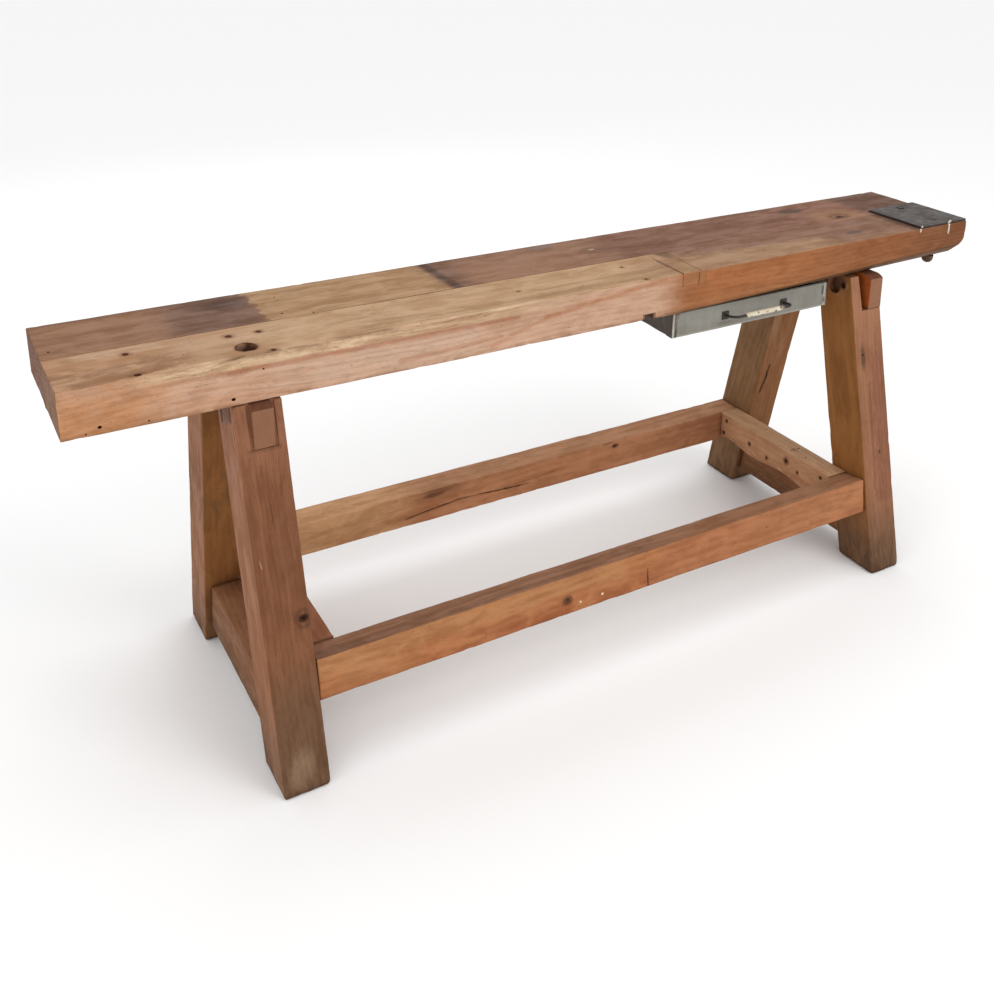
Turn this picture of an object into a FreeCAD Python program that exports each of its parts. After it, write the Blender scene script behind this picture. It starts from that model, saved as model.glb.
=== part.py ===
import FreeCAD, Part
import math
import os

# Joiner's bench: a thick two-plank top on two splayed trestles, tied by long stretchers,
# with a steel plate let into the right end and a sheet steel drawer hung under the top.
# Millimetres. +X runs to the right along the bench, +Y to the back, +Z up.
# The origin is on the floor, under the middle of the top.

# Bench top
TOP_LENGTH = 2000.0
TOP_THICKNESS = 84.0
FRONT_PLANK_WIDTH = 140.0
BACK_PLANK_WIDTH = 166.0
UNDERSIDE_HEIGHT = 670.5
TOP_FRONT_ROUND = 6.0
TOP_EDGE_ROUND = 3.0
RIGHT_END_ROUND = 25.0

# Wane, the rounded-off natural edge under the front of the right half
WANE_LENGTH = 870.0
WANE_DEPTH = 33.0
WANE_HEIGHT = 28.0
WANE_START_SHARE = 0.02

# Old housing cut across the underside of the front plank
HOUSING_END_INSET = 919.0
HOUSING_WIDTH = 21.0
HOUSING_DEPTH = 13.0

# Patch let into the top of the front plank, open at the front face
PATCH_END_INSET = 829.0
PATCH_WIDTH = 57.0
PATCH_REACH = 95.0
PATCH_THICKNESS = 28.0
PATCH_GAP = 0.4

# Loose dowels in the joint between the planks
DOWEL_RADIUS = 10.0
DOWEL_LENGTH = 90.0
DOWEL_X_SHARES = (-0.42, -0.22, 0.02, 0.24, 0.38)

# Steel plate at the right end, its bolts and their domed nuts
PLATE_LENGTH = 150.0
PLATE_WIDTH = 166.0
PLATE_THICKNESS = 6.0
PLATE_LET_IN = 2.0
PLATE_FRONT_INSET = 4.0
PLATE_SIDE_GAP = 3.0
PLATE_CORNER_ROUND = 4.0
PLATE_BOLT_RADIUS = 5.0
PLATE_BOLT_HEAD_RADIUS = 10.0
PLATE_BOLT_HEAD_HEIGHT = 5.0
PLATE_BOLT_FRONT_INSET = 40.0
PLATE_BOLT_BACK_INSET = 20.0
PLATE_BOLT_FRONT_END_INSET = 77.0
PLATE_BOLT_BACK_END_INSET = 63.0
DOME_NUT_RADIUS = 18.5
DOME_NUT_THREAD_DEPTH = 12.0

# Legs, four alike, leaning in towards the top
LEG_WIDTH = 84.5
LEG_DEPTH = 106.0
LEG_LEAN_DEG = 13.0
LEG_EDGE_ROUND = 4.0
FOOT_SPREAD = 611.0
LEFT_OVERHANG = 262.0
RIGHT_OVERHANG = 277.5

# Bearers, which cross the trestles through the slotted leg tops and carry the top
BEARER_WIDTH = 38.0
BEARER_HEIGHT = 78.0
BEARER_REACH = 168.5
BEARER_CHAMFER_DEPTH = 16.0
BEARER_CHAMFER_HEIGHT = 9.0
BEARER_SIDE_GAP = 5.0
LEFT_CHEEK = 22.0
RIGHT_CHEEK = 25.0
WEDGE_SLOT_TAPER = 3.0

# Pegs through the leg cheeks into the bearers
PEG_RADIUS = 19.0
PEG_HEIGHT_SHARE = 0.6
PEG_BITE = 8.0
LEFT_PEG_RECESS = 0.5
RIGHT_PEG_RECESS = 15.0

# Foot rails, one low across each trestle
RAIL_THICKNESS = 60.0
RAIL_BOTTOM = 42.0
RAIL_HEIGHT = 105.0
RAIL_TENON_THICKNESS = 24.0
RAIL_TENON_SHOULDER = 15.0

# Stretchers, front and back, between the trestles
FRONT_STRETCHER_WIDTH = 58.0
FRONT_STRETCHER_HEIGHT = 78.0
FRONT_STRETCHER_TOP = 219.5
FRONT_STRETCHER_TILT_DEG = 8.0
FRONT_STRETCHER_INSET = 2.8
BACK_STRETCHER_WIDTH = 65.0
BACK_STRETCHER_HEIGHT = 77.0
BACK_STRETCHER_TOP = 215.5
BACK_STRETCHER_TILT_DEG = 1.5
BACK_STRETCHER_INSET = 1.0
STRETCHER_TENON_THICKNESS = 28.0
STRETCHER_TENON_HEIGHT = 50.0

# All tenons
TENON_LENGTH = 45.0
MORTISE_END_GAP = 2.0

# Battens nailed to the inner sides of the trestles between the stretchers
BATTEN_THICKNESS = 53.5
BATTEN_TOP = 214.0
BATTEN_HEIGHT = 67.0
BATTEN_WAVE = 5.0
BATTEN_WAVE_SHARES = (0.0, 0.3, 0.55, 0.8, 1.0)
NAIL_RADIUS = 2.2
NAIL_LENGTH = 85.0
NAIL_HEAD_RADIUS = 4.5
NAIL_HEAD_THICKNESS = 1.5
NAIL_HEAD_SINK = 1.0
NAIL_LEG_INSET = 18.0
NAIL_HEIGHT_SHARES = (0.22, 0.76)

# Screw that holds the top down through the big counterbored hole, over the left bearer
TOP_SCREW_RADIUS = 5.0
TOP_SCREW_LENGTH = 115.0
TOP_SCREW_HEAD_WIDTH = 18.0
TOP_SCREW_HEAD_HEIGHT = 8.0
TOP_SCREW_FRONT_INSET = 45.0
TOP_SCREW_OFFSET = -4.0
COUNTERBORE_RADIUS = 17.0
COUNTERBORE_DEPTH = 24.0

# Coach screws that go up through the bearers into the planks
COACH_SCREW_RADIUS = 5.0
COACH_SCREW_BITE = 50.0
COACH_SCREW_HEAD_RADIUS = 9.0
COACH_SCREW_HEAD_HEIGHT = 7.0
COACH_SCREW_RECESS_RADIUS = 13.0
COACH_SCREW_RECESS_DEPTH = 12.0
COACH_SCREW_SPREAD = 38.0

# Drawer: a folded sheet tray with a folded front
DRAWER_LEG_GAP = 61.0
DRAWER_WIDTH = 421.0
DRAWER_DEPTH = 270.0
DRAWER_SETBACK = 9.5
DRAWER_BOTTOM_DROP = 56.5
DRAWER_TOP_GAP = 2.5
DRAWER_SHEET = 1.2
FRONT_SIDE_RETURN = 20.0
FRONT_TOP_RETURN = 8.0
FRONT_BOTTOM_RETURN = 14.0
TRAY_TOP_GAP = 4.5
TRAY_LIP = 11.6
TRAY_END_WALL_HEIGHT = 42.0
DRAWER_TRAVEL = 200.0
RIVET_RADIUS = 2.0
RIVET_HEAD_RADIUS = 3.5
RIVET_HEAD_HEIGHT = 1.0
RIVET_X_SHARES = (-0.4, 0.0, 0.4)

# Hangers, folded strips screwed under the top that carry the tray by its lips
HANGER_SHEET = 1.5
HANGER_LIP = 13.1
HANGER_TOP_FLANGE = 24.0
HANGER_FRONT_GAP = 0.3
HANGER_BACK_INSET = 8.0
LIP_GAP = 0.3
LIP_SIDE_GAP = 1.2
HANGER_SCREW_SHARES = (0.12, 0.6, 0.9)

# Angle stop that the tray's back wall meets when the drawer is fully out
STOP_WIDTH = 24.0
STOP_FLANGE = 20.0
STOP_DROP = 19.0
STOP_GAP = 0.5

# Small pan-head screws of the hangers and the stop
SMALL_SCREW_RADIUS = 2.1
SMALL_SCREW_LENGTH = 24.0
SMALL_SCREW_HEAD_RADIUS = 4.5
SMALL_SCREW_HEAD_HEIGHT = 2.5

# Bow handle
HANDLE_SPACING = 158.0
HANDLE_OFFSET = 5.5
HANDLE_ABOVE_BOTTOM = 28.0
HANDLE_PROJECTION = 31.5
HANDLE_LIFT_DEG = 8.0
HANDLE_BEND_RADIUS = 16.0
HANDLE_ROD_RADIUS = 3.0
HANDLE_FOOT_WIDTH = 18.0
HANDLE_FOOT_THICKNESS = 1.5
GRIP_RADIUS = 5.5
GRIP_LENGTH = 109.0
GRIP_BORE_CLEARANCE = 0.2
HANDLE_SCREW_RADIUS = 1.5
HANDLE_SCREW_BITE = 7.0
HANDLE_SCREW_HEAD_RADIUS = 3.5
HANDLE_SCREW_HEAD_HEIGHT = 2.0

# Clearance round every shank, dowel and peg, how far cutting shapes run past a face,
# and how close two places are when they count as one
SHANK_CLEARANCE = 0.15
OVERRUN = 5.0
SAME_PLACE = 0.1

# Places that several pieces share
TOP_HEIGHT = UNDERSIDE_HEIGHT + TOP_THICKNESS
LEFT_END = -TOP_LENGTH / 2
RIGHT_END = TOP_LENGTH / 2
FRONT_FACE = -(FRONT_PLANK_WIDTH + BACK_PLANK_WIDTH) / 2
BACK_FACE = -FRONT_FACE
SEAM = FRONT_FACE + FRONT_PLANK_WIDTH
BEARER_BOTTOM = UNDERSIDE_HEIGHT - BEARER_HEIGHT
LEAN = math.radians(LEG_LEAN_DEG)
FRONT = -1
BACK = 1
HEXAGON_CORNERS = 6


# Helpers

def vector(x, y, z):
    """Point or direction in the bench's own frame."""
    return FreeCAD.Vector(x, y, z)


def block(x_span, y_span, z_span):
    """Box between two places along each axis."""
    size = (x_span[1] - x_span[0], y_span[1] - y_span[0], z_span[1] - z_span[0])
    return Part.makeBox(*size, vector(x_span[0], y_span[0], z_span[0]))


def prism_along_x(outline, x_span):
    """Outline of (y, z) points drawn out along X."""
    points = [vector(x_span[0], y, z) for y, z in outline]
    face = Part.Face(Part.makePolygon(points + points[:1]))
    return face.extrude(vector(x_span[1] - x_span[0], 0, 0))


def prism_along_y(outline, y_span):
    """Outline of (x, z) points drawn out along Y."""
    points = [vector(x, y_span[0], z) for x, z in outline]
    face = Part.Face(Part.makePolygon(points + points[:1]))
    return face.extrude(vector(0, y_span[1] - y_span[0], 0))


def rod(start, direction, radius, length):
    """Cylinder from a start point."""
    return Part.makeCylinder(radius, length, start, direction)


def eased(solid, radius, chosen):
    """Round the edges that a test on their middle picks."""
    edges = [edge for edge in solid.Edges if chosen(edge.CenterOfMass)]
    return solid.makeFillet(radius, edges)


def near(a, b):
    """Whether two places are the same."""
    return abs(a - b) < SAME_PLACE


def joined(first, *others):
    """One solid from several that share faces."""
    return first.fuse(list(others)).removeSplitter()


# Trestle places

class Trestle:
    """Where one trestle's pieces stand along the bench."""

    def __init__(self, leg_x, bearer_left, slot_x, inward, peg_recess):
        self.leg_x = leg_x
        self.bearer_x = (bearer_left, bearer_left + BEARER_WIDTH)
        self.slot_x = slot_x
        self.inward = inward
        self.inner_face = leg_x[1] if inward > 0 else leg_x[0]
        self.middle = (leg_x[0] + leg_x[1]) / 2
        self.peg_x = (leg_x[0] + peg_recess, bearer_left + PEG_BITE)


def left_trestle():
    """Left trestle: each leg top is slotted between two cheeks."""
    leg_left = LEFT_END + LEFT_OVERHANG
    slot_left = leg_left + LEFT_CHEEK
    slot = (slot_left, slot_left + BEARER_WIDTH + 2 * BEARER_SIDE_GAP)
    return Trestle((leg_left, leg_left + LEG_WIDTH), slot_left + BEARER_SIDE_GAP, slot, 1, LEFT_PEG_RECESS)


def right_trestle():
    """Right trestle: the bearer lies flush with the outer side, beside an empty wedge slot."""
    leg_right = RIGHT_END - RIGHT_OVERHANG
    leg_left = leg_right - LEG_WIDTH
    slot = (leg_left + RIGHT_CHEEK, leg_right + OVERRUN)
    return Trestle((leg_left, leg_right), leg_right - BEARER_WIDTH, slot, -1, RIGHT_PEG_RECESS)


LEFT = left_trestle()
RIGHT = right_trestle()
TRESTLES = {"left": LEFT, "right": RIGHT}


def outer_reach(z):
    """Distance from the bench's middle plane to a leg's outer face at a height."""
    return FOOT_SPREAD / 2 - z * math.tan(LEAN)


def inner_reach(z):
    """Distance from the bench's middle plane to a leg's inner face at a height."""
    return outer_reach(z) - LEG_DEPTH / math.cos(LEAN)


# Stretchers

class Stretcher:
    """Section of one stretcher in the YZ plane, leaning with the legs."""

    def __init__(self, side, width, height, top, tilt_deg, inset):
        tilt = math.radians(tilt_deg)
        self.width = width
        self.height = height
        self.corner = (side * (outer_reach(top) - inset), top)
        self.inward = (-side * math.cos(tilt), -math.sin(tilt))
        self.down = (side * math.sin(tilt), -math.cos(tilt))

    def point(self, across, below):
        """Point of the section, measured from its top outer corner."""
        y = self.corner[0] + across * self.inward[0] + below * self.down[0]
        z = self.corner[1] + across * self.inward[1] + below * self.down[1]
        return (y, z)

    def outline(self, width, height):
        """Outline of a rectangle that is centred in the section."""
        across = ((self.width - width) / 2, (self.width + width) / 2)
        below = ((self.height - height) / 2, (self.height + height) / 2)
        corners = ((0, 0), (1, 0), (1, 1), (0, 1))
        return [self.point(across[i], below[j]) for i, j in corners]

    def inner_y(self, z):
        """Where the inner face stands at a height."""
        top = self.point(self.width, 0)
        return top[0] + (top[1] - z) * self.down[0] / -self.down[1]


STRETCHERS = {
    FRONT: Stretcher(FRONT, FRONT_STRETCHER_WIDTH, FRONT_STRETCHER_HEIGHT, FRONT_STRETCHER_TOP,
                     FRONT_STRETCHER_TILT_DEG, FRONT_STRETCHER_INSET),
    BACK: Stretcher(BACK, BACK_STRETCHER_WIDTH, BACK_STRETCHER_HEIGHT, BACK_STRETCHER_TOP,
                    BACK_STRETCHER_TILT_DEG, BACK_STRETCHER_INSET),
}


def stretcher_tongue(side, reach):
    """Tenons at both ends of a stretcher, or their mortises, as one bar."""
    outline = STRETCHERS[side].outline(STRETCHER_TENON_THICKNESS, STRETCHER_TENON_HEIGHT)
    return prism_along_x(outline, (LEFT.inner_face - reach, RIGHT.inner_face + reach))


def stretcher(side):
    """Long bar between the trestles with a blind tenon at each end."""
    section = STRETCHERS[side]
    bar = prism_along_x(section.outline(section.width, section.height), (LEFT.inner_face, RIGHT.inner_face))
    return joined(bar, stretcher_tongue(side, TENON_LENGTH))


# Foot rails

def rail_outline(bottom, top, reach):
    """Outline across a trestle between the legs' inner faces, each end moved out by a reach."""
    low = inner_reach(bottom) + reach
    high = inner_reach(top) + reach
    return [(-low, bottom), (low, bottom), (high, top), (-high, top)]


def rail_tongue(trestle, reach):
    """Tenons at both ends of a foot rail, or their mortises, as one bar."""
    bottom = RAIL_BOTTOM + RAIL_TENON_SHOULDER
    top = RAIL_BOTTOM + RAIL_HEIGHT - RAIL_TENON_SHOULDER
    x_span = (trestle.middle - RAIL_TENON_THICKNESS / 2, trestle.middle + RAIL_TENON_THICKNESS / 2)
    return prism_along_x(rail_outline(bottom, top, reach), x_span)


def foot_rail(trestle):
    """Rail low down between a trestle's two legs."""
    x_span = (trestle.middle - RAIL_THICKNESS / 2, trestle.middle + RAIL_THICKNESS / 2)
    bar = prism_along_x(rail_outline(RAIL_BOTTOM, RAIL_BOTTOM + RAIL_HEIGHT, 0), x_span)
    return joined(bar, rail_tongue(trestle, TENON_LENGTH))


# Pegs

def peg(trestle, side, clearance):
    """Peg from a leg's left side into the bearer, or with a clearance its hole."""
    z = BEARER_BOTTOM + BEARER_HEIGHT * PEG_HEIGHT_SHARE
    y = side * (outer_reach(z) + inner_reach(z)) / 2
    start = vector(trestle.peg_x[0], y, z)
    return rod(start, vector(1, 0, 0), PEG_RADIUS + clearance, trestle.peg_x[1] - trestle.peg_x[0])


def peg_socket(trestle, side):
    """Hole for a peg, open at the leg's left side."""
    inner = peg(trestle, side, SHANK_CLEARANCE)
    return joined(inner, inner.translated(vector(trestle.leg_x[0] - trestle.peg_x[0] - OVERRUN, 0, 0)))


def pegs(trestle):
    """The two pegs of a trestle."""
    return [peg(trestle, side, 0) for side in (FRONT, BACK)]


# Batten nails

def nail(trestle, side, share, clearance):
    """Nail through a batten into a leg, or with a clearance its hole."""
    z = BATTEN_TOP - BATTEN_HEIGHT + BATTEN_HEIGHT * share
    y = side * (inner_reach(z) + NAIL_LEG_INSET)
    face_x = trestle.inner_face + trestle.inward * (BATTEN_THICKNESS - NAIL_HEAD_SINK)
    outward = vector(-trestle.inward, 0, 0)
    shank = rod(vector(face_x, y, z), outward, NAIL_RADIUS + clearance, NAIL_LENGTH + clearance)
    head_length = NAIL_HEAD_THICKNESS + clearance
    head_start = vector(face_x + trestle.inward * NAIL_HEAD_THICKNESS, y, z)
    head = rod(head_start, outward, NAIL_HEAD_RADIUS + clearance, head_length)
    return joined(shank, head)


def nails(trestle, clearance):
    """The four nails of a batten."""
    return [nail(trestle, side, share, clearance) for side in (FRONT, BACK) for share in NAIL_HEIGHT_SHARES]


# Battens

def batten(trestle):
    """Batten between the stretchers, with a wavy lower edge."""
    x = trestle.inner_face
    low = BATTEN_TOP - BATTEN_HEIGHT
    ends = [(STRETCHERS[side].inner_y(low), STRETCHERS[side].inner_y(BATTEN_TOP)) for side in (FRONT, BACK)]
    (front_low, front_high), (back_low, back_high) = ends
    corners = [vector(x, front_low, low), vector(x, front_high, BATTEN_TOP),
               vector(x, back_high, BATTEN_TOP), vector(x, back_low, low)]
    edges = [Part.LineSegment(a, b).toShape() for a, b in zip(corners, corners[1:])]
    places = [front_low + (back_low - front_low) * share for share in BATTEN_WAVE_SHARES]
    for index, (start, end) in enumerate(zip(places, places[1:])):
        bulge = BATTEN_WAVE if index % 2 else -BATTEN_WAVE
        middle = vector(x, (start + end) / 2, low + bulge)
        edges.append(Part.Arc(vector(x, start, low), middle, vector(x, end, low)).toShape())
    outline = Part.Wire(Part.__sortEdges__(edges))
    solid = Part.Face(outline).extrude(vector(trestle.inward * BATTEN_THICKNESS, 0, 0))
    return solid.cut(nails(trestle, SHANK_CLEARANCE))


# Legs

def leg_slot(trestle):
    """Open slot in a leg's top for the bearer; beside the right bearer it tapers for a wedge."""
    left, right = trestle.slot_x
    above = UNDERSIDE_HEIGHT + OVERRUN
    taper = 0 if trestle is LEFT else WEDGE_SLOT_TAPER
    outline = [(left, above), (left, UNDERSIDE_HEIGHT), (left + taper, BEARER_BOTTOM),
               (right, BEARER_BOTTOM), (right, above)]
    return prism_along_y(outline, (-FOOT_SPREAD / 2, FOOT_SPREAD / 2))


def leg(trestle, side):
    """Leaning leg with its slot, mortises, peg hole and nail holes."""
    outline = [(side * outer_reach(0), 0), (side * inner_reach(0), 0),
               (side * inner_reach(UNDERSIDE_HEIGHT), UNDERSIDE_HEIGHT),
               (side * outer_reach(UNDERSIDE_HEIGHT), UNDERSIDE_HEIGHT)]
    post = prism_along_x(outline, trestle.leg_x)
    post = eased(post, LEG_EDGE_ROUND, lambda middle: near(middle.z, UNDERSIDE_HEIGHT / 2))
    cuts = [leg_slot(trestle), peg_socket(trestle, side),
            rail_tongue(trestle, TENON_LENGTH + MORTISE_END_GAP),
            stretcher_tongue(side, TENON_LENGTH + MORTISE_END_GAP)]
    return post.cut(cuts + nails(trestle, SHANK_CLEARANCE))


# Screws up through the bearers and down through the top

def coach_screw_places():
    """Each coach screw's bearer and side: the left front one is the screw from above instead."""
    return [(LEFT, BACK), (RIGHT, FRONT), (RIGHT, BACK)]


def coach_screw(trestle, side, clearance):
    """Hexagon-head screw up through a bearer into a plank, or with a clearance its holes."""
    x = (trestle.bearer_x[0] + trestle.bearer_x[1]) / 2
    seat = BEARER_BOTTOM + COACH_SCREW_RECESS_DEPTH
    place = vector(x, side * COACH_SCREW_SPREAD, seat)
    length = UNDERSIDE_HEIGHT + COACH_SCREW_BITE - seat
    shank = rod(place, vector(0, 0, 1), COACH_SCREW_RADIUS + clearance, length + clearance)
    if clearance:
        depth = COACH_SCREW_RECESS_DEPTH + OVERRUN
        return joined(shank, rod(place, vector(0, 0, -1), COACH_SCREW_RECESS_RADIUS, depth))
    turns = [math.tau * step / HEXAGON_CORNERS for step in range(HEXAGON_CORNERS)]
    points = [place + vector(math.cos(turn), math.sin(turn), 0) * COACH_SCREW_HEAD_RADIUS for turn in turns]
    hexagon = Part.Face(Part.makePolygon(points + points[:1]))
    return joined(shank, hexagon.extrude(vector(0, 0, -COACH_SCREW_HEAD_HEIGHT)))


def coach_screws(clearance):
    """The three coach screws."""
    return [coach_screw(trestle, side, clearance) for trestle, side in coach_screw_places()]


def top_screw(clearance):
    """Square-head screw down through the front plank into the left bearer, or its stepped hole."""
    x = (LEFT.bearer_x[0] + LEFT.bearer_x[1]) / 2 + TOP_SCREW_OFFSET
    y = FRONT_FACE + TOP_SCREW_FRONT_INSET
    seat = TOP_HEIGHT - COUNTERBORE_DEPTH
    down = vector(0, 0, -1)
    shank = rod(vector(x, y, seat), down, TOP_SCREW_RADIUS + clearance, TOP_SCREW_LENGTH + clearance)
    if clearance:
        depth = COUNTERBORE_DEPTH + OVERRUN
        return joined(shank, rod(vector(x, y, TOP_HEIGHT + OVERRUN), down, COUNTERBORE_RADIUS, depth))
    half = TOP_SCREW_HEAD_WIDTH / 2
    head = block((x - half, x + half), (y - half, y + half), (seat, seat + TOP_SCREW_HEAD_HEIGHT))
    return joined(shank, head)


# Bearers

def bearer(trestle):
    """Bar across a trestle's leg tops, its ends chamfered at the top."""
    chamfer_start = BEARER_REACH - BEARER_CHAMFER_DEPTH
    chamfer_foot = UNDERSIDE_HEIGHT - BEARER_CHAMFER_HEIGHT
    outline = [(-BEARER_REACH, BEARER_BOTTOM), (BEARER_REACH, BEARER_BOTTOM), (BEARER_REACH, chamfer_foot),
               (chamfer_start, UNDERSIDE_HEIGHT), (-chamfer_start, UNDERSIDE_HEIGHT),
               (-BEARER_REACH, chamfer_foot)]
    bar = prism_along_x(outline, trestle.bearer_x)
    sockets = [peg_socket(trestle, side) for side in (FRONT, BACK)]
    return bar.cut(sockets + coach_screws(SHANK_CLEARANCE) + [top_screw(SHANK_CLEARANCE)])


# Steel plate

def plate_bolt_places():
    """Plan places of the plate's two bolts."""
    front = (RIGHT_END - PLATE_BOLT_FRONT_END_INSET, FRONT_FACE + PLATE_BOLT_FRONT_INSET)
    back_y = FRONT_FACE + PLATE_FRONT_INSET + PLATE_WIDTH - PLATE_BOLT_BACK_INSET
    back = (RIGHT_END - PLATE_BOLT_BACK_END_INSET, back_y)
    return [front, back]


def plate_top():
    """Height of the plate's upper face."""
    return TOP_HEIGHT - PLATE_LET_IN + PLATE_THICKNESS


def plate_bolt(place, clearance):
    """Countersunk bolt down through the plate and the top, or with a clearance its hole."""
    head_top = vector(place[0], place[1], plate_top())
    down = vector(0, 0, -1)
    cone = Part.makeCone(PLATE_BOLT_HEAD_RADIUS + clearance, PLATE_BOLT_RADIUS + clearance,
                         PLATE_BOLT_HEAD_HEIGHT, head_top, down)
    length = plate_top() - UNDERSIDE_HEIGHT + DOME_NUT_THREAD_DEPTH
    shank = rod(head_top, down, PLATE_BOLT_RADIUS + clearance, length + clearance)
    return joined(shank, cone)


def plate_bolts(clearance):
    """The plate's two bolts."""
    return [plate_bolt(place, clearance) for place in plate_bolt_places()]


def dome_nuts():
    """Half-ball nuts under the top, one on each plate bolt."""
    nuts = []
    for x, y in plate_bolt_places():
        centre = vector(x, y, UNDERSIDE_HEIGHT)
        nuts.append(Part.makeSphere(DOME_NUT_RADIUS, centre, vector(0, 0, 1), -90, 0, 360))
    return [nut.cut(plate_bolts(SHANK_CLEARANCE)) for nut in nuts]


def end_plate():
    """Flat steel plate let into the right end of the top."""
    y_span = (FRONT_FACE + PLATE_FRONT_INSET, FRONT_FACE + PLATE_FRONT_INSET + PLATE_WIDTH)
    z_span = (TOP_HEIGHT - PLATE_LET_IN, plate_top())
    plate = block((RIGHT_END - PLATE_LENGTH, RIGHT_END), y_span, z_span)
    middle_height = (z_span[0] + z_span[1]) / 2
    plate = eased(plate, PLATE_CORNER_ROUND, lambda middle: near(middle.z, middle_height))
    return plate.cut(plate_bolts(SHANK_CLEARANCE))


def plate_recess():
    """Shallow housing for the plate, wider than it on the left."""
    x_span = (RIGHT_END - PLATE_LENGTH - PLATE_SIDE_GAP, RIGHT_END + OVERRUN)
    y_span = (FRONT_FACE + PLATE_FRONT_INSET, FRONT_FACE + PLATE_FRONT_INSET + PLATE_WIDTH)
    return block(x_span, y_span, (TOP_HEIGHT - PLATE_LET_IN, TOP_HEIGHT + OVERRUN))


# Bench top

def joint_dowels(clearance):
    """Loose dowels across the joint between the planks, or with a clearance their holes."""
    middle_height = UNDERSIDE_HEIGHT + TOP_THICKNESS / 2
    dowels = []
    for share in DOWEL_X_SHARES:
        start = vector(TOP_LENGTH * share, SEAM - DOWEL_LENGTH / 2 - clearance, middle_height)
        dowels.append(rod(start, vector(0, 1, 0), DOWEL_RADIUS + clearance, DOWEL_LENGTH + 2 * clearance))
    return dowels


def patch(gap):
    """Patch in the front plank, kept off its pocket's walls by a gap."""
    left = RIGHT_END - PATCH_END_INSET
    x_span = (left + gap, left + PATCH_WIDTH - gap)
    y_span = (FRONT_FACE, FRONT_FACE + PATCH_REACH - gap)
    return block(x_span, y_span, (TOP_HEIGHT - PATCH_THICKNESS, TOP_HEIGHT))


def patch_pocket():
    """Pocket for the patch, open at the top and the front."""
    left = RIGHT_END - PATCH_END_INSET
    x_span = (left, left + PATCH_WIDTH)
    y_span = (FRONT_FACE - OVERRUN, FRONT_FACE + PATCH_REACH)
    return block(x_span, y_span, (TOP_HEIGHT - PATCH_THICKNESS, TOP_HEIGHT + OVERRUN))


def top_patch():
    """The patch, rounded like the top's front edge."""
    return eased(patch(PATCH_GAP), TOP_FRONT_ROUND,
                 lambda middle: near(middle.y, FRONT_FACE) and near(middle.z, TOP_HEIGHT))


def wane_section(x, growth):
    """Triangle at a place along the front lower edge, grown by a share of the full wane."""
    depth = WANE_DEPTH * growth
    height = WANE_HEIGHT * growth
    slope = WANE_HEIGHT / WANE_DEPTH
    corner = vector(x, FRONT_FACE - OVERRUN, UNDERSIDE_HEIGHT - OVERRUN)
    back = vector(x, FRONT_FACE + depth + OVERRUN / slope, UNDERSIDE_HEIGHT - OVERRUN)
    up = vector(x, FRONT_FACE - OVERRUN, UNDERSIDE_HEIGHT + height + OVERRUN * slope)
    return Part.makePolygon([corner, back, up, corner])


def wane():
    """Wood missing under the front edge, nothing at its start and the most at the right end."""
    start = wane_section(RIGHT_END - WANE_LENGTH, WANE_START_SHARE)
    return Part.makeLoft([start, wane_section(RIGHT_END + OVERRUN, 1)], True, True)


def plank(y_span):
    """Plain plank with its lower right end rounded."""
    arc_start = vector(RIGHT_END, y_span[0], UNDERSIDE_HEIGHT + RIGHT_END_ROUND)
    arc_end = vector(RIGHT_END - RIGHT_END_ROUND, y_span[0], UNDERSIDE_HEIGHT)
    dip = RIGHT_END_ROUND * (1 - math.sqrt(0.5))
    arc_middle = vector(RIGHT_END - dip, y_span[0], UNDERSIDE_HEIGHT + dip)
    corners = [arc_end, vector(LEFT_END, y_span[0], UNDERSIDE_HEIGHT),
               vector(LEFT_END, y_span[0], TOP_HEIGHT), vector(RIGHT_END, y_span[0], TOP_HEIGHT), arc_start]
    edges = [Part.LineSegment(a, b).toShape() for a, b in zip(corners, corners[1:])]
    edges.append(Part.Arc(arc_start, arc_middle, arc_end).toShape())
    return Part.Face(Part.Wire(edges)).extrude(vector(0, y_span[1] - y_span[0], 0))


def top_front_plank():
    """Front plank with its worn edge, wane, housing, patch pocket, plate recess and holes."""
    solid = plank((FRONT_FACE, SEAM))
    solid = eased(solid, TOP_FRONT_ROUND,
                  lambda middle: near(middle.y, FRONT_FACE) and near(middle.z, TOP_HEIGHT))
    housing_left = RIGHT_END - HOUSING_END_INSET
    housing = block((housing_left, housing_left + HOUSING_WIDTH), (FRONT_FACE - OVERRUN, SEAM + OVERRUN),
                    (UNDERSIDE_HEIGHT - OVERRUN, UNDERSIDE_HEIGHT + HOUSING_DEPTH))
    cuts = [wane(), housing, patch_pocket(), plate_recess(), top_screw(SHANK_CLEARANCE)]
    return solid.cut(cuts + top_holes())


def top_back_plank():
    """Back plank with its worn edge, plate recess and holes."""
    solid = plank((SEAM, BACK_FACE))
    solid = eased(solid, TOP_EDGE_ROUND,
                  lambda middle: near(middle.y, BACK_FACE) and near(middle.z, TOP_HEIGHT))
    return solid.cut([plate_recess()] + top_holes())


def top_holes():
    """Every hole that both planks may have a share of."""
    return (joint_dowels(SHANK_CLEARANCE) + plate_bolts(SHANK_CLEARANCE) + coach_screws(SHANK_CLEARANCE)
            + small_screws(SHANK_CLEARANCE))


# Drawer places

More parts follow.
